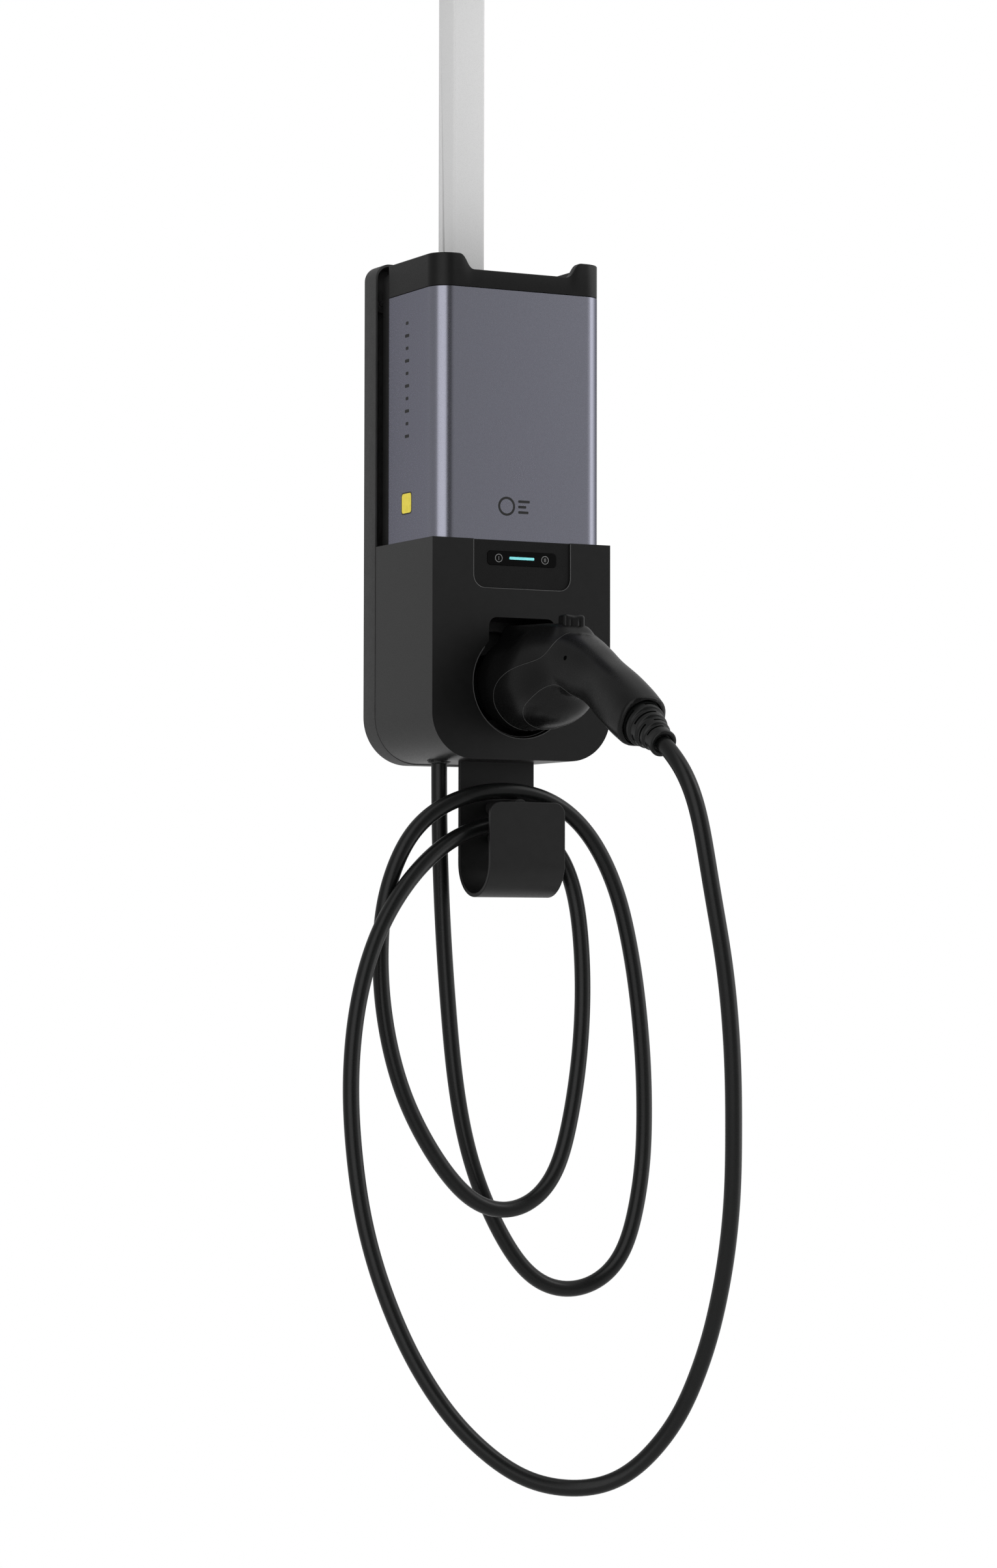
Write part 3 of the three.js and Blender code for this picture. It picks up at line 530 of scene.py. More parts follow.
# ---- post
def add_post():
    half, wall, corner, y = POST["half"], POST["wall"], POST["corner"], POST["y"]

    def square(side, radius, steps=6):
        return rounded(-side, y - side, side, y + side, [radius] * 4, steps)

    def outline(inset):
        return square(half - inset, corner if inset < 1 else 1)

    made = hollow_bar("post_tube_skin", outline, wall, POST["low"], POST["high"], 0.3, 0.2)
    places = [(POST_BOLTS["y"], z) for z in POST_BOLTS["heights"]]
    cut(made, *bores(POST_BOLTS["bore"], -half - 1, half + 1, places, "x", 32))
    dress(made, "post_paint", ["post_tube"])

    base, spread = POST["high"] + GAP, FLANGE["spread"]
    top = base + FLANGE["thick"]
    plate = prism("post_flange_skin", square(FLANGE["half"], FLANGE["corner"], 10), base, top, "z")
    places = [(sx * spread, y + sy * spread) for sx in (-1, 1) for sy in (-1, 1)]
    cut(plate, *bores(FLANGE["hole"], base - 1, top + 1, places, "z", 40),
        rod("inlet", SUPPLY_INLET["radius"], base - 1, top + 1, 0, SUPPLY_INLET["y"], "z", 40))
    soften(plate, 0.8)
    dress(plate, "post_paint", ["post_flange"])

    rows = [(-1, 0.1), (4.5, 0.1), (3.4, 1.6), (1.4, 3.6), (-1, 5)]
    rings = [lay(square(half + out, max(out + corner, 1)), base - drop, "z") for out, drop in rows]
    dress(stack("post_weld", rings, loop=True), "post_paint")


# ---- rear housing
def add_housing():
    half, front, back = HOUSING["half"], HOUSING["front"], HOUSING["back"]
    low, high, wall, edge = HOUSING["low"], HOUSING["high"], HOUSING["wall"], HOUSING["edge"]
    floor = back - wall

    def outline(inset):
        radii = [HOUSING["low_corner"] - inset] * 2 + [HOUSING["high_corner"] - inset] * 2
        return rounded(-half + inset, low + inset, half - inset, high - inset, radii, 24)

    rows = [(wall, floor), (wall, front + 0.4), (wall - 0.4, front), (0.5, front), (0, front + 0.5)]
    rows += [(inset, back - edge + rise) for inset, rise in edge_round(edge, 5)]
    made = stack("back_housing_skin", [lay(outline(inset), y, "y") for inset, y in rows])
    places = [(sx * HOUSING_SCREWS["x"], z) for z in HOUSING_SCREWS["heights"] for sx in (-1, 1)]
    combine(made, "UNION", *bores(HOUSING_SCREWS["boss"], floor - 6, floor + 1, places, "y", 40))
    reach = POST["half"] + 0.5
    notch = block("notch", -reach, reach, front - 1, floor, high - 8, high + 1)
    cut(made, notch, *bores(HOUSING_SCREWS["pocket"], floor - 0.3, back + 1, places, "y", 40),
        *bores(SCREW_BORE, 120, back, places, "y"))
    sharpen(made, 32)
    dress(made, "dark_housing", ["back_housing"])


# ---- casing and cap
def casing_outline(inset=0.0):
    half, front, back = CASING["half"], CASING["front"], CASING["back"]
    near, far = CASING["front_corner"] - inset, max(CASING["back_corner"] - inset, 0.5)
    return rounded(-half + inset, front + inset, half - inset, back - inset, [near, near, far, far], 16)


def add_casing():
    made = hollow_bar("casing_skin", casing_outline, CASING["wall"], CASING["low"], CASING["high"],
                      0.4, 0.4)
    dress(made, "satin_aluminium", ["casing"])


def add_cap():
    base, high, lip, wall, edge = (CAP[k] for k in ("base", "high", "lip", "wall", "edge"))
    flat, rise = CAP["flat"], CAP["rise"]
    middle = (flat + rise) / 2
    t = np.linspace(0, 1, 40)
    across = flat * (1 - t) ** 3 + 3 * middle * (t * (1 - t) ** 2 + t ** 2 * (1 - t)) + rise * t ** 3
    curve = lip + (high - lip) * (3 * t ** 2 - 2 * t ** 3)
    whole = np.array(casing_outline())
    longs = np.linalg.norm(np.roll(whole, -1, axis=0) - whole, axis=1)
    counts = [max(1, int(round(long / 1.5))) if long > 20 else 1 for long in longs]

    def level(inset, height):
        return lay(subdivide(casing_outline(inset), counts), height, "z")

    def brim(inset, below):
        """A ring that follows the top edge and its dip at the front."""
        ring = level(inset, 0)
        top = np.where(ring[:, 1] < CAP["dip_back"], np.interp(np.abs(ring[:, 0]), across, curve), high)
        ring[:, 2] = top - below
        return ring

    rings = [level(0.6, base), level(0.15, base + 0.15), level(0, base + 0.6), brim(0, edge)]
    rings += [brim(inset, edge - up) for inset, up in edge_round(edge, 4)[1:]]
    rings += [brim(wall - 1.2, 0), brim(wall - 0.4, 0.35), brim(wall, edge), level(wall, base + 4),
              level(wall + 0.3, base + 3.3), level(wall + 1, base + 3)]
    dress(stack("top_cap_skin", rings), "cap_black", ["top_cap"])


# ---- lower cover
def mouth_outline():
    radius, half, middle = HOLSTER["radius"], BAY["half"], HOLSTER["z"]
    high, corner = BAY["high"], BAY["corner"]
    start = math.degrees(math.atan2(math.sqrt(radius ** 2 - half ** 2), half))
    points = arc(0, middle, radius, 180 - start, 360 + start, 120)
    points += arc(half - corner, high - corner, corner, 0, 90, 12)
    points += arc(-half + corner, high - corner, corner, 90, 180, 12)
    return points


def hook_bores(low, high):
    places = [(sx * HOOK_SCREWS["x"], HOOK_SCREWS["y"]) for sx in (-1, 1)]
    return bores(SCREW_BORE, low, high, places, "z")


def add_cover():
    half, depth, drop, wall, corner = (COVER[k] for k in ("half", "depth", "drop", "wall", "corner"))
    outline = rounded(-half, -drop, half, 0, [corner, corner, 0, 0], 32)
    made = prism("lower_cover_skin", outline, 0, depth, "y")
    inner = rounded(-half + wall, -drop + wall, half - wall, 5, [corner - wall] * 2 + [0, 0], 32)
    tray = rounded(-TRAY["half"] - GAP, -TRAY["drop"] - GAP, TRAY["half"] + GAP, 1,
                   [TRAY["corner"] + GAP] * 2 + [0, 0], 14)
    cut(made, prism("hollow", inner, wall, depth + 1, "y"), prism("window", tray, -1, wall + 1, "y"),
        prism("mouth", mouth_outline(), -1, wall + 1, "y"),
        block("slot", -HOOK["half"] - GAP, HOOK["half"] + GAP, HOOK["strap"] - GAP,
              HOOK["strap"] + HOOK["thick"] + GAP, -drop - 1, -drop + wall + 1),
        rod("gland", GLAND_RADIUS, -drop - 1, -drop + 12, *CABLE_EXIT, "z", 64),
        *hook_bores(-drop - 1, -drop + wall + 1))
    soften(made, 0.8, 3, 40)
    dress(made, "cover_black", ["lower_cover"])


# ---- display
def panel(name, sizes, grow, corner, steps, front, back):
    """An upright plate with rounded corners, larger than the sizes by grow."""
    half, low, high = sizes["half"] + grow, sizes["low"] - grow, sizes["high"] + grow
    return prism(name, rounded(-half, low, half, high, [corner] * 4, steps), front, back, "y")


def add_display():
    plate = prism("display_tray_skin", rounded(-TRAY["half"], -TRAY["drop"], TRAY["half"], -GAP,
                                               [TRAY["corner"]] * 2 + [0, 0], 14),
                  TRAY["front"], TRAY["back"], "y")
    front, back = STRIP["front"], STRIP["back"]
    cut(plate, panel("well", STRIP, GAP, STRIP["corner"] + GAP, 10, 0, back + GAP))
    soften(plate, 0.3, 2, 40)
    dress(plate, "textured_black", ["display_tray"])

    glass = panel("display_glass_skin", STRIP, 0, STRIP["corner"], 12, front, back)
    cut(glass, prism("slot", rounded(-14.2, -19.3, 14.2, -16.1, [1] * 4, 6), 0, 3, "y"))
    soften(glass, 0.25, 3, 40)
    dress(glass, "gloss_strip", ["display_glass"])

    bar = panel("led_bar_skin", LIGHT_BAR, 0, LIGHT_BAR["corner"], 6, front, back)
    soften(bar, 0.25, 3, 40)
    dress(bar, "led_cyan", ["led_bar"])

    proud = ICONS["front"]
    for side, x, bars in (("left", -ICONS["x"], [(-0.35, 0.35)]),
                          ("right", ICONS["x"], [(-1.1, -0.4), (0.4, 1.1)])):
        rows = [(4.2, front), (4.15, proud), (3.5, proud), (3.45, front)]
        ring = washer(f"icon_ring_{side}", x, ICONS["z"], rows, 48)
        dress(ring, "gloss_strip", finish=PRINT_GREY)
        for i, (a, b) in enumerate(bars):
            mark = prism(f"icon_bar_{side}_{i}", rounded(x + a, -20.1, x + b, -16.3, [0.3] * 4, 4),
                         proud, front + 0.01, "y")
            dress(mark, "gloss_strip", finish=PRINT_GREY)


def rim_highlight(name, outline, front, radius):
    """A slim raised bead along an open line drawn in X and Z, in a lighter grey: a painted highlight
    along the edge.
    """
    path = lay(even(np.array(outline, float), 1.5), front, "y")
    dress(tube(name, path, radius, 8), "cover_black", finish=HIGHLIGHT_GREY)


def add_highlight_edges():
    """Painted highlights: lighter grey beads round the display's window and inside the holster's mouth.
    """
    half, drop, corner = TRAY["half"] + 0.1, TRAY["drop"] + 0.1, TRAY["corner"]
    window = [(-half, -0.8)] + arc(-half + corner, -drop + corner, corner, 180, 270, 14)
    window += arc(half - corner, -drop + corner, corner, 270, 360, 14) + [(half, -0.8)]
    rim_highlight("window_highlight", window, 0.25, 0.45)
    for name, inset, front in (("mouth_highlight", 0.2, 0.35), ("mouth_inner_highlight", 2.2, 4.0)):
        rim_highlight(name, arc(0, HOLSTER["z"], HOLSTER["radius"] - inset, 140, 400, 160), front, 0.5)


# ---- holster
def add_holster():
    z, radius, depth, wall = (HOLSTER[k] for k in ("z", "radius", "depth", "wall"))
    front = COVER["wall"] + GAP

    def bay(inset, y0, y1):
        half, corner = BAY["half"] + inset, BAY["corner"] + inset
        return prism("bay", rounded(-half, z, half, BAY["high"] + inset, [0, 0, corner, corner], 10),
                     y0, y1, "y")

    made = rod("holster_cup_skin", radius + wall + 0.5, front, depth + wall, 0, z, "y", 144)
    combine(made, "UNION", bay(wall + GAP, front, BAY["depth"] + wall))
    cut(made, rod("well", radius + 0.5, 0, depth, 0, z, "y", 144))
    cut(made, bay(GAP, 0, BAY["depth"]))
    soften(made, 0.4, 2, 40)
    dress(made, "cover_black", ["holster_cup"])


# ---- cable hook
def add_hook():
    half, thick, strap, plate = HOOK["half"], HOOK["thick"], HOOK["strap"], HOOK["plate"]
    top, bend_z, tail = HOOK["top"], HOOK["bend"], HOOK["tail"]
    back = strap + thick
    middle, bend = (back + plate) / 2, (back - plate) / 2
    ledge = -COVER["drop"] + COVER["wall"] + GAP
    side = [(tail, ledge), (tail, ledge + thick)]
    side += arc(strap + 3, ledge + thick - 3, 3, 90, 180, 6)
    side += arc(middle, bend_z, bend - thick, 0, -180, 40)
    side += [(plate + thick, top), (plate, top)]
    side += arc(middle, bend_z, bend, 180, 360, 48)
    side += [(back, ledge)]
    made = prism("cable_hook_skin", side, -half, half, "x")
    corner = HOOK["corner"]
    for sx in (-1, 1):
        waste = [(sx * (half - corner), top + 1), (sx * (half - corner), top)]
        waste += [(sx * (half - corner + corner * math.sin(a)), top - corner + corner * math.cos(a))
                  for a in np.linspace(0, math.pi / 2, 13)[1:]]
        waste += [(sx * (half + 1), top - corner), (sx * (half + 1), top + 1)]
        cut(made, prism("waste", waste, plate - 1, plate + thick + 1, "y"))
    cut(made, *hook_bores(ledge - 1, ledge + thick + 1))
    soften(made, 0.9, 3, 40)
    dress(made, "hook_black", ["cable_hook"])

    y0, y1, bore, edge = plate + thick + GAP, strap - GAP, PEGS["radius"], PEGS["edge"]
    for name, z, outer, lift in PEG_SLEEVES:
        rows = [(z, bore, y0), (z + lift, outer - edge, y0), (z + lift, outer, y0 + edge),
                (z + lift, outer, y1 - edge), (z + lift, outer - edge, y1), (z, bore, y1)]
        rings = [lay(arc(PEGS["x"], middle, radius, 0, 360, 40)[:-1], y, "y")
                 for middle, radius, y in rows]
        dress(stack(f"peg_sleeve_{name}", rings, loop=True), "peg_rubber")


# ---- charging gun
GUN_SPINE = [(-66, -124, 36, 32), (-108, -127.5, 32, 29.5), (-137, -137, 27.2, 27),
             (-165, -149.5, 23.6, 25.1), (-196, -166.3, 24.4, 26.6), (-222, -181.5, 24.7, 26.7),
             (-240.5, -192.2, 23.7, 25.4), (-262, -204.1, 22.8, 24.3)]
END_FORWARD = np.array([-math.cos(HANDLE_SLOPE), -math.sin(HANDLE_SLOPE)])
SPINE_STEP = 2.0


def spine_curve():
    """The handle's middle line in Y and Z, with its half width and half height along it."""
    line = even(centripetal(GUN_SPINE, 40), SPINE_STEP)
    along = np.gradient(line[:, :2], axis=0)
    return line, along / np.linalg.norm(along, axis=1)[:, None]


SPINE, ALONG = spine_curve()


def nearest_on_spine(y, z):
    """Across-distance, overshoot behind the start, half width and half height, by nearest point."""
    y, z = np.broadcast_arrays(y, z)
    flat = np.stack([y.ravel(), z.ravel()], 1)
    found = np.concatenate([((part[:, None] - SPINE[None, :, :2]) ** 2).sum(2).argmin(1)
                            for part in np.array_split(flat, len(flat) // 4000 + 1)])
    rest = flat - SPINE[found, :2]
    over = (rest * ALONG[found]).sum(1)
    place_on = np.clip(found + over / SPINE_STEP, 0, len(SPINE) - 1)
    steps = np.arange(len(SPINE))
    near = [np.interp(place_on, steps, SPINE[:, k]) for k in range(4)]
    way = [np.interp(place_on, steps, ALONG[:, k]) for k in range(2)]
    across = (flat[:, 0] - near[0]) * way[1] - (flat[:, 1] - near[1]) * way[0]
    back = np.clip(-(found * SPINE_STEP + over), 0, None)
    return [np.reshape(part, np.shape(y)) for part in (across, back, near[2], near[3])]


def handle_shape(x, y, z):
    across, back, wide, high = nearest_on_spine(y, z)
    power = 2.5
    total = abs(x / wide) ** power + abs(across / high) ** power + (back / high) ** power
    return total ** (1 / power) - 1


def head_shape(x, y, z):
    t = np.clip((-20 - y) / 89, 0, None)
    dome = np.clip(-35 - y, 0, None) / 74
    return (np.hypot(x / 47, (z + 142 + 7 * t ** 2) / 47) ** 2.3 + dome ** 2.3) ** (1 / 2.3) - 1


def ridge_shape(x, y, z):
    t = np.clip((-98 - y) / 20, 0, None)
    middle = -109 + 5 * (y + 100) / 108 - 5 * t ** 2
    return ((x / 20.5) ** 4 + ((z - middle) / 20) ** 4 + t ** 3) ** 0.25 - 1


def gradient(shape, x, y, z, step):
    here = shape(x, y, z)
    sides = [shape(x + step, y, z), shape(x, y + step, z), shape(x, y, z + step)]
    return here, [(side - here) / step for side in sides]


def distance(shape, x, y, z):
    here, slopes = gradient(shape, x, y, z, 0.2)
    return here / np.maximum(np.sqrt(sum(slope ** 2 for slope in slopes)), 1e-4)


def blend_min(a, b, reach):
    mix = np.clip(0.5 + 0.5 * (b - a) / reach, 0, 1)
    return b + (a - b) * mix - reach * mix * (1 - mix)


def gun_shape(x, y, z):
    """Roughly how far a point is outside the gun's body, in millimetres."""
    body = blend_min(distance(head_shape, x, y, z), distance(handle_shape, x, y, z), 16)
    body = blend_min(body, distance(ridge_shape, x, y, z), 7)
    end = (y - HANDLE_END[0]) * END_FORWARD[0] + (z - HANDLE_END[1]) * END_FORWARD[1]
    body = -blend_min(-body, -end, 3)
    return -blend_min(-body, 8 - y, 3)


def button_shape(x, y, z):
    lifted = z + 0.9 * np.exp(-(x / 4.6) ** 2)
    parts = [abs(x) - 8.6, abs(y + 101.5) - 4.7, abs(lifted + 88.5) - 4.7]
    out = np.sqrt(sum(np.clip(part, 0, None) ** 2 for part in parts))
    box = out + np.minimum(np.maximum(np.maximum(parts[0], parts[1]), parts[2]), 0) - 2.8
    fade = np.clip((-83.5 - z) / 4, 0, 1)
    return box + 0.45 * fade * np.exp(-((abs(x) - 4.6) / 0.8) ** 2)


def settle(shape, points, rounds, proud=0.0):
    """Newton steps that move points onto the shape's surface, or that far outside it."""
    for _ in range(rounds):
        here, slopes = gradient(shape, *points.T, 0.3)
        slopes = np.stack(slopes, 1)
        points = points - slopes * ((here - proud) / np.maximum((slopes ** 2).sum(1), 0.05))[:, None]
    return points


def skin(shape, low, high, step):
    """Points and quads of the surface where the shape is zero (surface nets, then Newton steps)."""
    axes = [np.arange(a, b + step, step) for a, b in zip(low, high)]
    x, y, z = np.ix_(*axes)
    value = np.broadcast_to(shape(x, y, z), [len(a) for a in axes])
    inside = value < 0
    cells = [n - 1 for n in value.shape]
    total, count = np.zeros(cells + [3]), np.zeros(cells)
    corners = [(i, j, k) for i in (0, 1) for j in (0, 1) for k in (0, 1)]

    def window(corner):
        return tuple(slice(start, start + size) for start, size in zip(corner, cells))

    for a in corners:
        for axis in range(3):
            if a[axis]:
                continue
            b = tuple(v + (i == axis) for i, v in enumerate(a))
            first, second = value[window(a)], value[window(b)]
            crossed = (first < 0) != (second < 0)
            share = np.where(crossed, first / np.where(crossed, first - second, 1), 0)
            for i in range(3):
                total[..., i] += crossed * (a[i] + (share if i == axis else 0))
            count += crossed
    active = count > 0
    number = np.full(cells, -1)
    number[active] = np.arange(active.sum())
    points = (np.argwhere(active) + total[active] / count[active][:, None]) * step + np.array(low)
    faces = []
    for axis in range(3):
        u, v = (axis + 1) % 3, (axis + 2) % 3
        near = [slice(0, n) for n in value.shape]
        far = list(near)
        near[axis], far[axis] = slice(0, -1), slice(1, None)
        edges = np.argwhere(inside[tuple(near)] != inside[tuple(far)])
        for edge in [e for e in edges if e[u] > 0 and e[v] > 0]:
            ring = []
            for du, dv in ((-1, -1), (0, -1), (0, 0), (-1, 0)):
                cell = edge.copy()
                cell[u] += du
                cell[v] += dv
                ring.append(number[tuple(cell)])
            faces.append(ring)
    return settle(shape, points, 2), faces


def relax(points, faces, rounds, share):
    """Moves each point part of the way to the middle of its neighbours."""
    quads = np.array(faces)
    ends = np.concatenate([quads[:, [k, (k + 1) % 4]] for k in range(4)])
    ends = np.concatenate([ends, ends[:, ::-1]])
    count = np.bincount(ends[:, 0], minlength=len(points))[:, None]
    for _ in range(rounds):
        near = points[ends[:, 1]]
        total = np.stack([np.bincount(ends[:, 0], near[:, k], len(points)) for k in range(3)], 1)
        points = points + share * (total / np.maximum(count, 1) - points)
    return points


def mend_crease(points, faces):
    """Smooths the skin where the head and the handle meet under the gun, and a little elsewhere."""
    points = relax(points, faces, 2, 0.4)
    near = np.exp(-(((points[:, 1] + 95) / 30) ** 2 + ((points[:, 2] + 165) / 24) ** 2))[:, None]
    return relax(points, faces, 24, 0.5 * np.clip(near * 1.6 - 0.3, 0, 1))


def seam_outline(shift):
    """The nose shell's side of the seam, in Y and Z."""
    def bezier(a, b, c, d):
        t = np.linspace(0, 1, 25)[1:, None]
        a, b, c, d = (np.array(p, float) for p in (a, b, c, d))
        curve = a * (1 - t) ** 3 + 3 * b * t * (1 - t) ** 2 + 3 * c * t ** 2 * (1 - t) + d * t ** 3
        return [tuple(p) for p in curve]
    s = shift
    points = [(30, -60), (-119 - s, -60), (-119 - s, -95)]
    points += bezier((-119 - s, -95), (-119 - s, -122 - s), (-100, -124 - s), (-81, -128 - s))
    points += bezier((-81, -128 - s), (-50, -134 - s), (-25 - s, -145), (-19 - s, -168))
    return points + [(-12 - s, -200), (30, -200)]


# The left half of the belly patch's outline, from under the handle round to its back end.
BELLY_SIDE = [(-20, -127, -156), (-29, -112, -152), (-31, -98, -154), (-35, -84, -162),
              (-35, -68, -171), (-28, -56, -181), (-15, -50.5, -187)]
BELLY_OVAL = BELLY_SIDE + [(-x, y, z) for x, y, z in reversed(BELLY_SIDE)]


def on_grip(points, rounds=6):
    """Moves points onto the grip's surface."""
    return settle(gun_shape, points, rounds, GRIP_PROUD)


def belly_line():
    """The closed outline of the belly's patch, on the surface."""
    ring = centripetal(np.vstack([BELLY_OVAL[-1:], BELLY_OVAL, BELLY_OVAL[:2]]), 12)[12:-12]
    path = on_grip(even(ring, 1.4))
    for _ in range(12):
        path = 0.5 * path + 0.25 * (np.roll(path, 1, axis=0) + np.roll(path, -1, axis=0))
    return on_grip(path)


def seam_line(side):
    """The grip's edge along the seam, on the surface."""
    line = even(np.array(seam_outline(0.55)[2:-1], float), 1.2)
    reach = np.linspace(0, 52, 209)
    value = gun_shape(reach[:, None], line[None, :, 0], line[None, :, 1]) - GRIP_PROUD
    outer = (value < 0).sum(0)
    keep = (outer > 0) & (outer < len(reach))
    x = reach[np.clip(outer, 1, None)] - 0.125
    path = np.stack([-side * x, line[:, 0], line[:, 1]], 1)[keep]
    return on_grip(path, 3)


# A slim lighter grey bead on the gun's skin: a painted highlight along an edge.
def gun_highlight(name, path, radius):
    dress(tube(name, path, radius, 6), "gun_grip", (), "connector", HIGHLIGHT_GREY)


def channel():
    """The latch lever's way through the gun."""
    half, front, back, low, high = (CHANNEL[k] for k in ("half", "front", "back", "low", "high"))
    return block("channel", -half, half, front, back, low, high)


def add_gun():
    step = 1.6
    points, faces = skin(gun_shape, (-52, -272, -240), (52, 14, -76), step)
    points = mend_crease(points, faces)
    nose = new_object("gun_nose_skin", points, faces, 40)
    combine(nose, "INTERSECT", prism("seam", seam_outline(-0.3), -70, 70, "x"))
    window = prism("window", rounded(-11.8, -109.4, 11.8, -93.6, [3.4] * 4, 6), -101, -60, "z")
    well = rod("well", 24.9, -30, 10, 0, HOLSTER["z"], "y", 72)
    y, z, half = LATCH_PIN["y"], LATCH_PIN["z"], LATCH_PIN["half"]
    bore = rod("bore", LATCH_PIN["bore"], -half, half, y, z, "x", 24)
    cut(nose, channel(), window, well, bore)
    sharpen(nose, 32)
    dress(nose, "gun_black", ["gun_nose_shell"], "connector")

    grip = new_object("gun_grip_skin", mend_crease(on_grip(points, 1), faces), faces, 40)
    cut(grip, prism("seam", seam_outline(0.3), -70, 70, "x"))
    screw = rod("bore", SCREW_BORE, -GUN_SCREW["deep"], 0, GUN_SCREW["y"], GUN_SCREW["z"], "x", 32)
    cut(grip, channel(), screw)
    cut(grip, end_piece("recess", [(0.01, -7), (1, -7), (1, 12), (0.01, 12)], (20.9, 23.9)))
    sharpen(grip, 32)
    dress(grip, "gun_grip", ["gun_handle_shell"], "connector")
    # Painted highlights along both sides of the seam and round the belly's patch.
    for side, label in ((1, "left"), (-1, "right")):
        gun_highlight(f"seam_highlight_{label}", seam_line(side), 0.3)
    oval = belly_line()
    gun_highlight("belly_highlight", np.vstack([oval, oval[:1]]), 0.28)


def on_handle(points):
    """Puts points in place that are given about the handle's line, with heights from its end."""
    turn = np.array(Matrix.Rotation(math.pi / 2 + HANDLE_SLOPE, 3, "X"))
    return points @ turn.T + np.array([0, *HANDLE_END])


def end_ring(radius, height, wide, tall):
    angles = np.linspace(0, 2 * math.pi, 96, endpoint=False)
    return on_handle(np.stack([wide * radius * np.cos(angles), tall * radius * np.sin(angles),
                               np.full(96, height)], 1))


def end_piece(name, profile, oval, loop=False):
    """Something turned about the handle's line."""
    return stack(name, [end_ring(radius, height, *oval) for radius, height in profile], loop)


def sector(radius_in, radius_out, low, high, start, end, oval):
    """Points and faces of a curved bar round the handle's line; angles are in degrees."""
    steps = 14
    corners = [(radius_in, low), (radius_out, low), (radius_out, high), (radius_in, high)]
    points = [(radius * math.cos(angle), oval * radius * math.sin(angle), height)
              for angle in np.radians(np.linspace(start, end, steps + 1))
              for radius, height in corners]
    ends = [(0, 1, 2, 3), tuple(steps * 4 + k for k in range(4))]
    return on_handle(np.array(points)), ring_faces(steps + 1, 4) + ends


def add_boot():
    profile = [(0.01, -6.9), (15, -6.9), (15, -3), (19.6, -3), (19.4, 8.6), (17.4, 9.6), (17.2, 19.2),
               (15.2, 20.4), (15, 29.6), (13.2, 30.8), (13.0, 38), (13.6, 46), (9.4, 46), (8.6, 42),
               (0.01, 42)]
    radii = [0, 0.5, 0.3, 1.0, 1.2, 0.8, 1.2, 0.8, 1.2, 0.8, 2, 3.4, 2.4, 0.6, 0]
    made = stack("strain_relief_boot_skin", [end_ring(radius, height, 1, boot_oval(height))
                                             for radius, height in round_corners(profile, radii, 5)])
    slots = [(2.4, 4.8, 19.6, 20), (12.8, 15.2, 17.3, 80), (23.5, 25.8, 15.1, 20),
             (33.0, 35.0, 13.1, 80)]
    points, faces = [], []
    for low, high, radius, first in slots:
        for start in (first, first + 120, first + 240):
            part = sector(radius - 2.0, radius + 3, low, high, start, start + 86, boot_oval(low))
            faces += [tuple(v + len(points) for v in face) for face in part[1]]
            points += list(part[0])
    cut(made, new_object("slots", points, faces))
    sharpen(made, 42)
    dress(made, "cable_rubber", ["strain_relief_boot"], "connector")

    profile = [(15.3, -7.9), (19.6, -7.9), (20.4, -7.2), (20.5, -3.8), (19.9, -3.3), (15.9, -3.3),
               (15.3, -3.7), (15.3, -7.9)]
    collar = end_piece("handle_collar_skin", profile, (1, 1.14), loop=True)
    dress(collar, "gun_black", ["handle_collar"], "connector")
    return made, collar


def boot_oval(height):
    """The boot is oval in the handle and round at the cable."""
    return 1 + 0.13 * float(np.clip(1 - height / 30, 0, 1))


def add_button():
    points, faces = skin(button_shape, (-13, -111, -98), (13, -92, -76), 0.8)
    made = new_object("thumb_button_skin", points, faces, 60)
    combine(made, "UNION", block("stem", -4, 4, -107, -101, -99.1, -94))
    sharpen(made, 50)
    dress(made, "gun_black", ["thumb_button"], "button")


# ---- printed marks
def add_marks():
    """Plain bars and shapes where the unit carries print; they say nothing."""
    side, front = -CASING["half"] - PRINT_PROUD, CASING["front"] - PRINT_PROUD

    def mark(name, outline, start, end, axis, finish=PRINT_BLACK):
        dress(prism(name, outline, start, end, axis), "black_frame", finish=finish)

    for i in range(10):
        z, reach = 104.5 + i * 12.6, (4.6, 3.0)[i % 2]
        mark(f"side_bar_{i}", rounded(68 - reach, z, 68 + reach, z + 3.2, [0.8] * 4, 5),
             side, side + 0.2, "x")
    mark("side_patch_rim", rounded(57, 28, 80, 50, [3.6] * 4, 6), side, side + 0.2, "x")
    mark("side_patch", rounded(58.2, 29.2, 78.8, 48.8, [3] * 4, 6),
         side - PRINT_PROUD, side + 0.1, "x", STICKER)
    rows = [(9.5, front + 0.2), (9.5, front), (7.2, front), (7.2, front + 0.2)]
    dress(washer("front_ring", -16, 34, rows, 64), "black_frame", finish=PRINT_BLACK)
    for i, (z, end) in enumerate(((38, 10), (32.6, 6), (27.2, 8.5))):
        mark(f"front_bar_{i}", rounded(-3, z, end, z + 2.6, [0.8] * 4, 5), front, front + 0.2, "y")


# ---- light and floor
KEY_LIGHT = {"way": (0.80, -0.6, 0.62), "reach": 2.8, "size": 0.9, "power": 7}


def add_key_light():
    """A soft light that faces the object from the right; reach and size are in metres."""
    data = bpy.data.lights.new("right_key", "AREA")
    data.shape = "RECTANGLE"
    data.size = data.size_y = KEY_LIGHT["size"]
    data.energy = KEY_LIGHT["power"]
    made = add_object("right_key", data)
    way = Vector(KEY_LIGHT["way"]).normalized()
    made.location = spot(0, 60, -150) + way * KEY_LIGHT["reach"]
    made.rotation_euler = way.to_track_quat("Z", "Y").to_euler()
    made.visible_camera = False


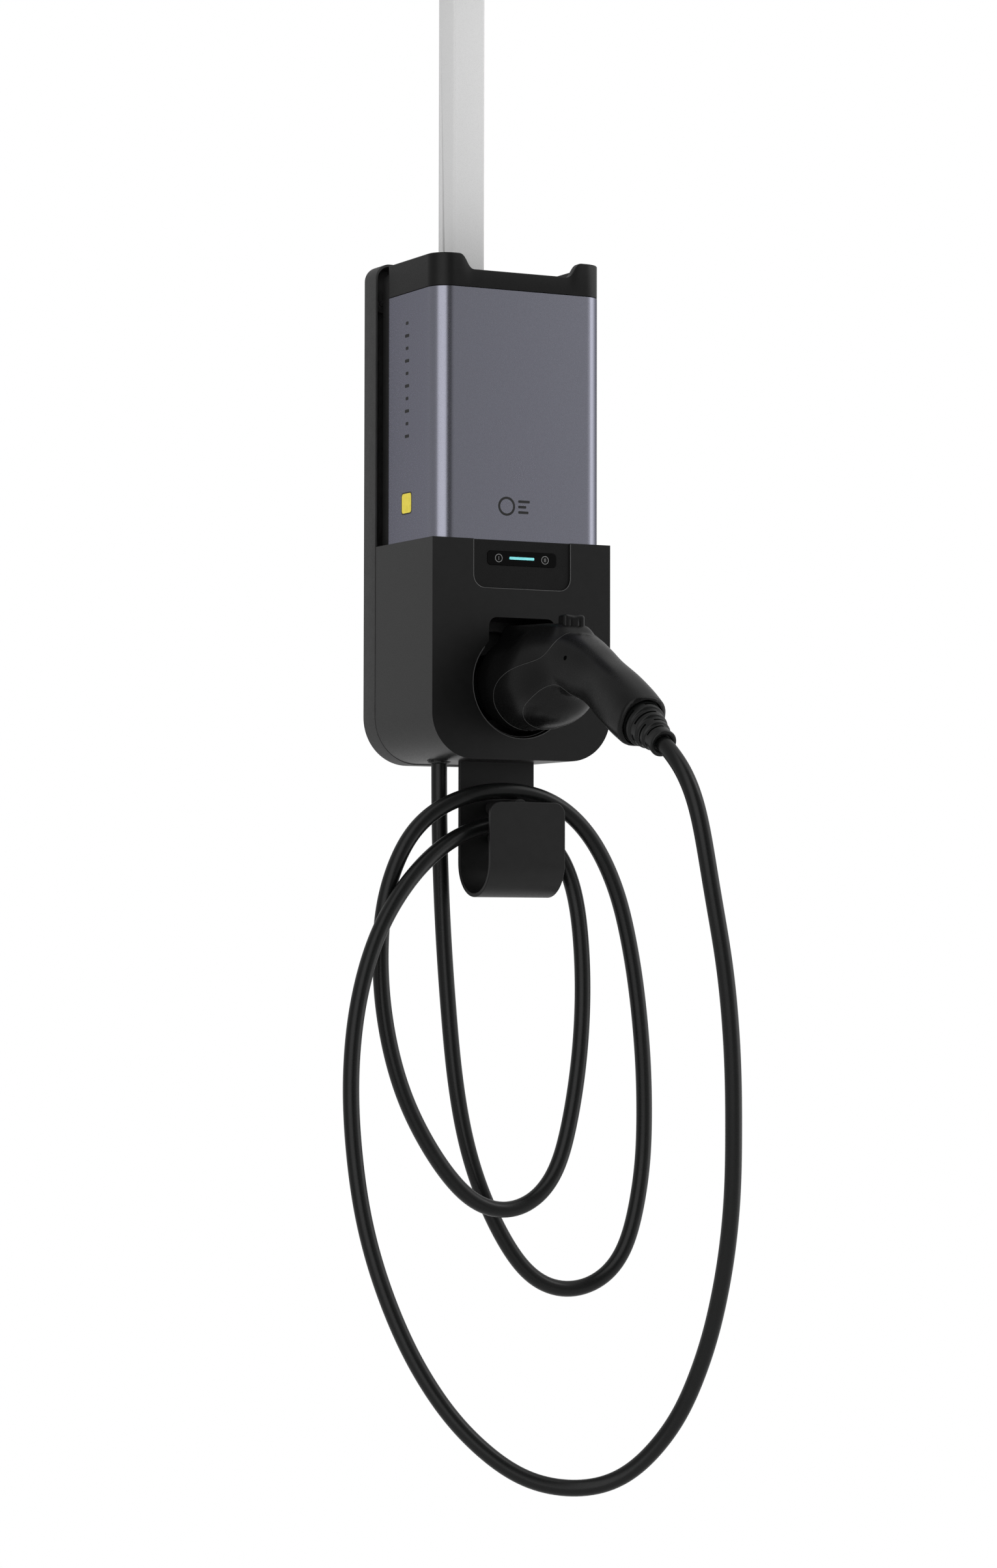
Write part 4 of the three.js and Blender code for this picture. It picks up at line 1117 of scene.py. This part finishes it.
# How bright the studio is all round, by direction on the compass: 0 and 1 are straight left (-X),
# 0.25 is straight ahead of the unit (-Y), 0.5 is right and 0.75 is behind it.
STUDIO = [(0.0, 0.46), (0.045, 0.55), (0.062, 1.65), (0.185, 1.8), (0.206, 0.16), (0.262, 0.12),
          (0.30, 0.48), (0.36, 0.56), (0.39, 0.85), (0.415, 2.1), (0.455, 2.0), (0.50, 1.0),
          (0.60, 0.6), (0.75, 0.55), (0.83, 0.64), (0.92, 0.5), (1.0, 0.46)]
STUDIO_TOP = 3.0


def add_world():
    world = bpy.data.worlds.new("studio")
    world.use_nodes = True
    world.node_tree.nodes.clear()
    out = node(world, "ShaderNodeOutputWorld")
    where = node(world, "ShaderNodeTexCoord")
    compass = node(world, "ShaderNodeTexGradient")
    compass.gradient_type = "RADIAL"
    ramp = node(world, "ShaderNodeValToRGB")
    stops = ramp.color_ramp.elements
    for i, (at, level) in enumerate(STUDIO):
        stop = stops[i] if i < 1 else (stops.new(at) if i < len(STUDIO) - 1 else stops[-1])
        stop.position = at
        stop.color = (*grey(level / STUDIO_TOP), 1)
    split = node(world, "ShaderNodeSeparateXYZ")
    rise = node(world, "ShaderNodeMapRange", From_Min=0.35, From_Max=0.9, To_Min=STUDIO_TOP,
                To_Max=STUDIO_TOP * 0.9)
    rise.interpolation_type = "SMOOTHSTEP"
    light = node(world, "ShaderNodeBackground")
    seen = node(world, "ShaderNodeBackground", Color=(1, 1, 1, 1))
    path = node(world, "ShaderNodeLightPath")
    mix = node(world, "ShaderNodeMixShader")
    join(world, (where, "Generated", compass, "Vector"), (where, "Generated", split, "Vector"),
         (split, "Z", rise, "Value"), (rise, "Result", light, "Strength"),
         (compass, "Fac", ramp, "Fac"), (ramp, "Color", light, "Color"),
         (path, "Is Camera Ray", mix, "Fac"), (light, "Background", mix, 1),
         (seen, "Background", mix, 2), (mix, "Shader", out, "Surface"))
    bpy.context.scene.world = world


def add_floor():
    made = material("studio_floor", grey(0.9), 0.6, specular=0.2)
    vary_color(made, 3, grey(0.88), grey(0.92))
    clear = node(made, "ShaderNodeBsdfTransparent")
    mix = node(made, "ShaderNodeMixShader")
    side = node(made, "ShaderNodeNewGeometry")
    out = made.node_tree.nodes["Material Output"]
    join(made, (side, "Backfacing", mix, "Fac"), (surface(made), "BSDF", mix, 1),
         (clear, "BSDF", mix, 2), (mix, "Shader", out, "Surface"))
    rim = arc(0, 0, FLOOR["radius"], 0, 360, 96)[:-1]
    disc = new_object("studio_floor", lay(rim, FLOOR["z"], "z"), [range(96)])
    if disc.data.polygons[0].normal.z < 0:
        disc.data.flip_normals()
    disc.data.materials.append(made)


CARRIED = {
    "zinc_steel": [f"housing_screw_{i}" for i in (1, 2, 3, 4)] + [
        "post_bracket_left", "post_bracket_right", "cross_bolt_1", "cross_bolt_2", "hook_peg_upper",
        "hook_peg_lower", "hook_screw_1", "hook_screw_2", "din_rail", "latch_pin", "latch_spring",
        "latch_lever"],
    "black_frame": ["gun_screw", "inner_chassis", "holster_ring", "gland_nut", "contact_carrier"],
    "circuit_board": ["display_board", "main_board"],
    "device_plastic": ["residual_current_breaker", "contactor", "meter_module", "terminal_block"],
    "gun_black": ["contact_sleeve"],
    "cable_rubber": ["cable_grommet", "supply_cable", "sleeve_seal"],
    "contact_brass": [f"pin_{name}" for name in (
        "earth", "line", "neutral", "spare_left", "spare_right", "control", "proximity")],
}


def dress_carried_nodes():
    """CAD nodes that keep their own shape get the same worked-out materials."""
    for slot, names in CARRIED.items():
        for name in names:
            made = NODES[name]
            made.data.materials.clear()
            made.data.materials.append(MATERIAL[slot])
            sharpen(made, 35)
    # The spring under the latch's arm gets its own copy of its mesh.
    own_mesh(NODES["latch_spring"])


# ---- build everything
bpy.context.scene.view_settings.view_transform = "Standard"
add_camera()
cable, cable_centres, cable_length = add_cable()
boot, collar = add_boot()
add_post()
add_housing()
add_casing()
add_cap()
add_cover()
add_display()
add_highlight_edges()
add_holster()
add_hook()
add_gun()
add_button()
add_marks()
dress_carried_nodes()
add_world()
add_key_light()
add_floor()
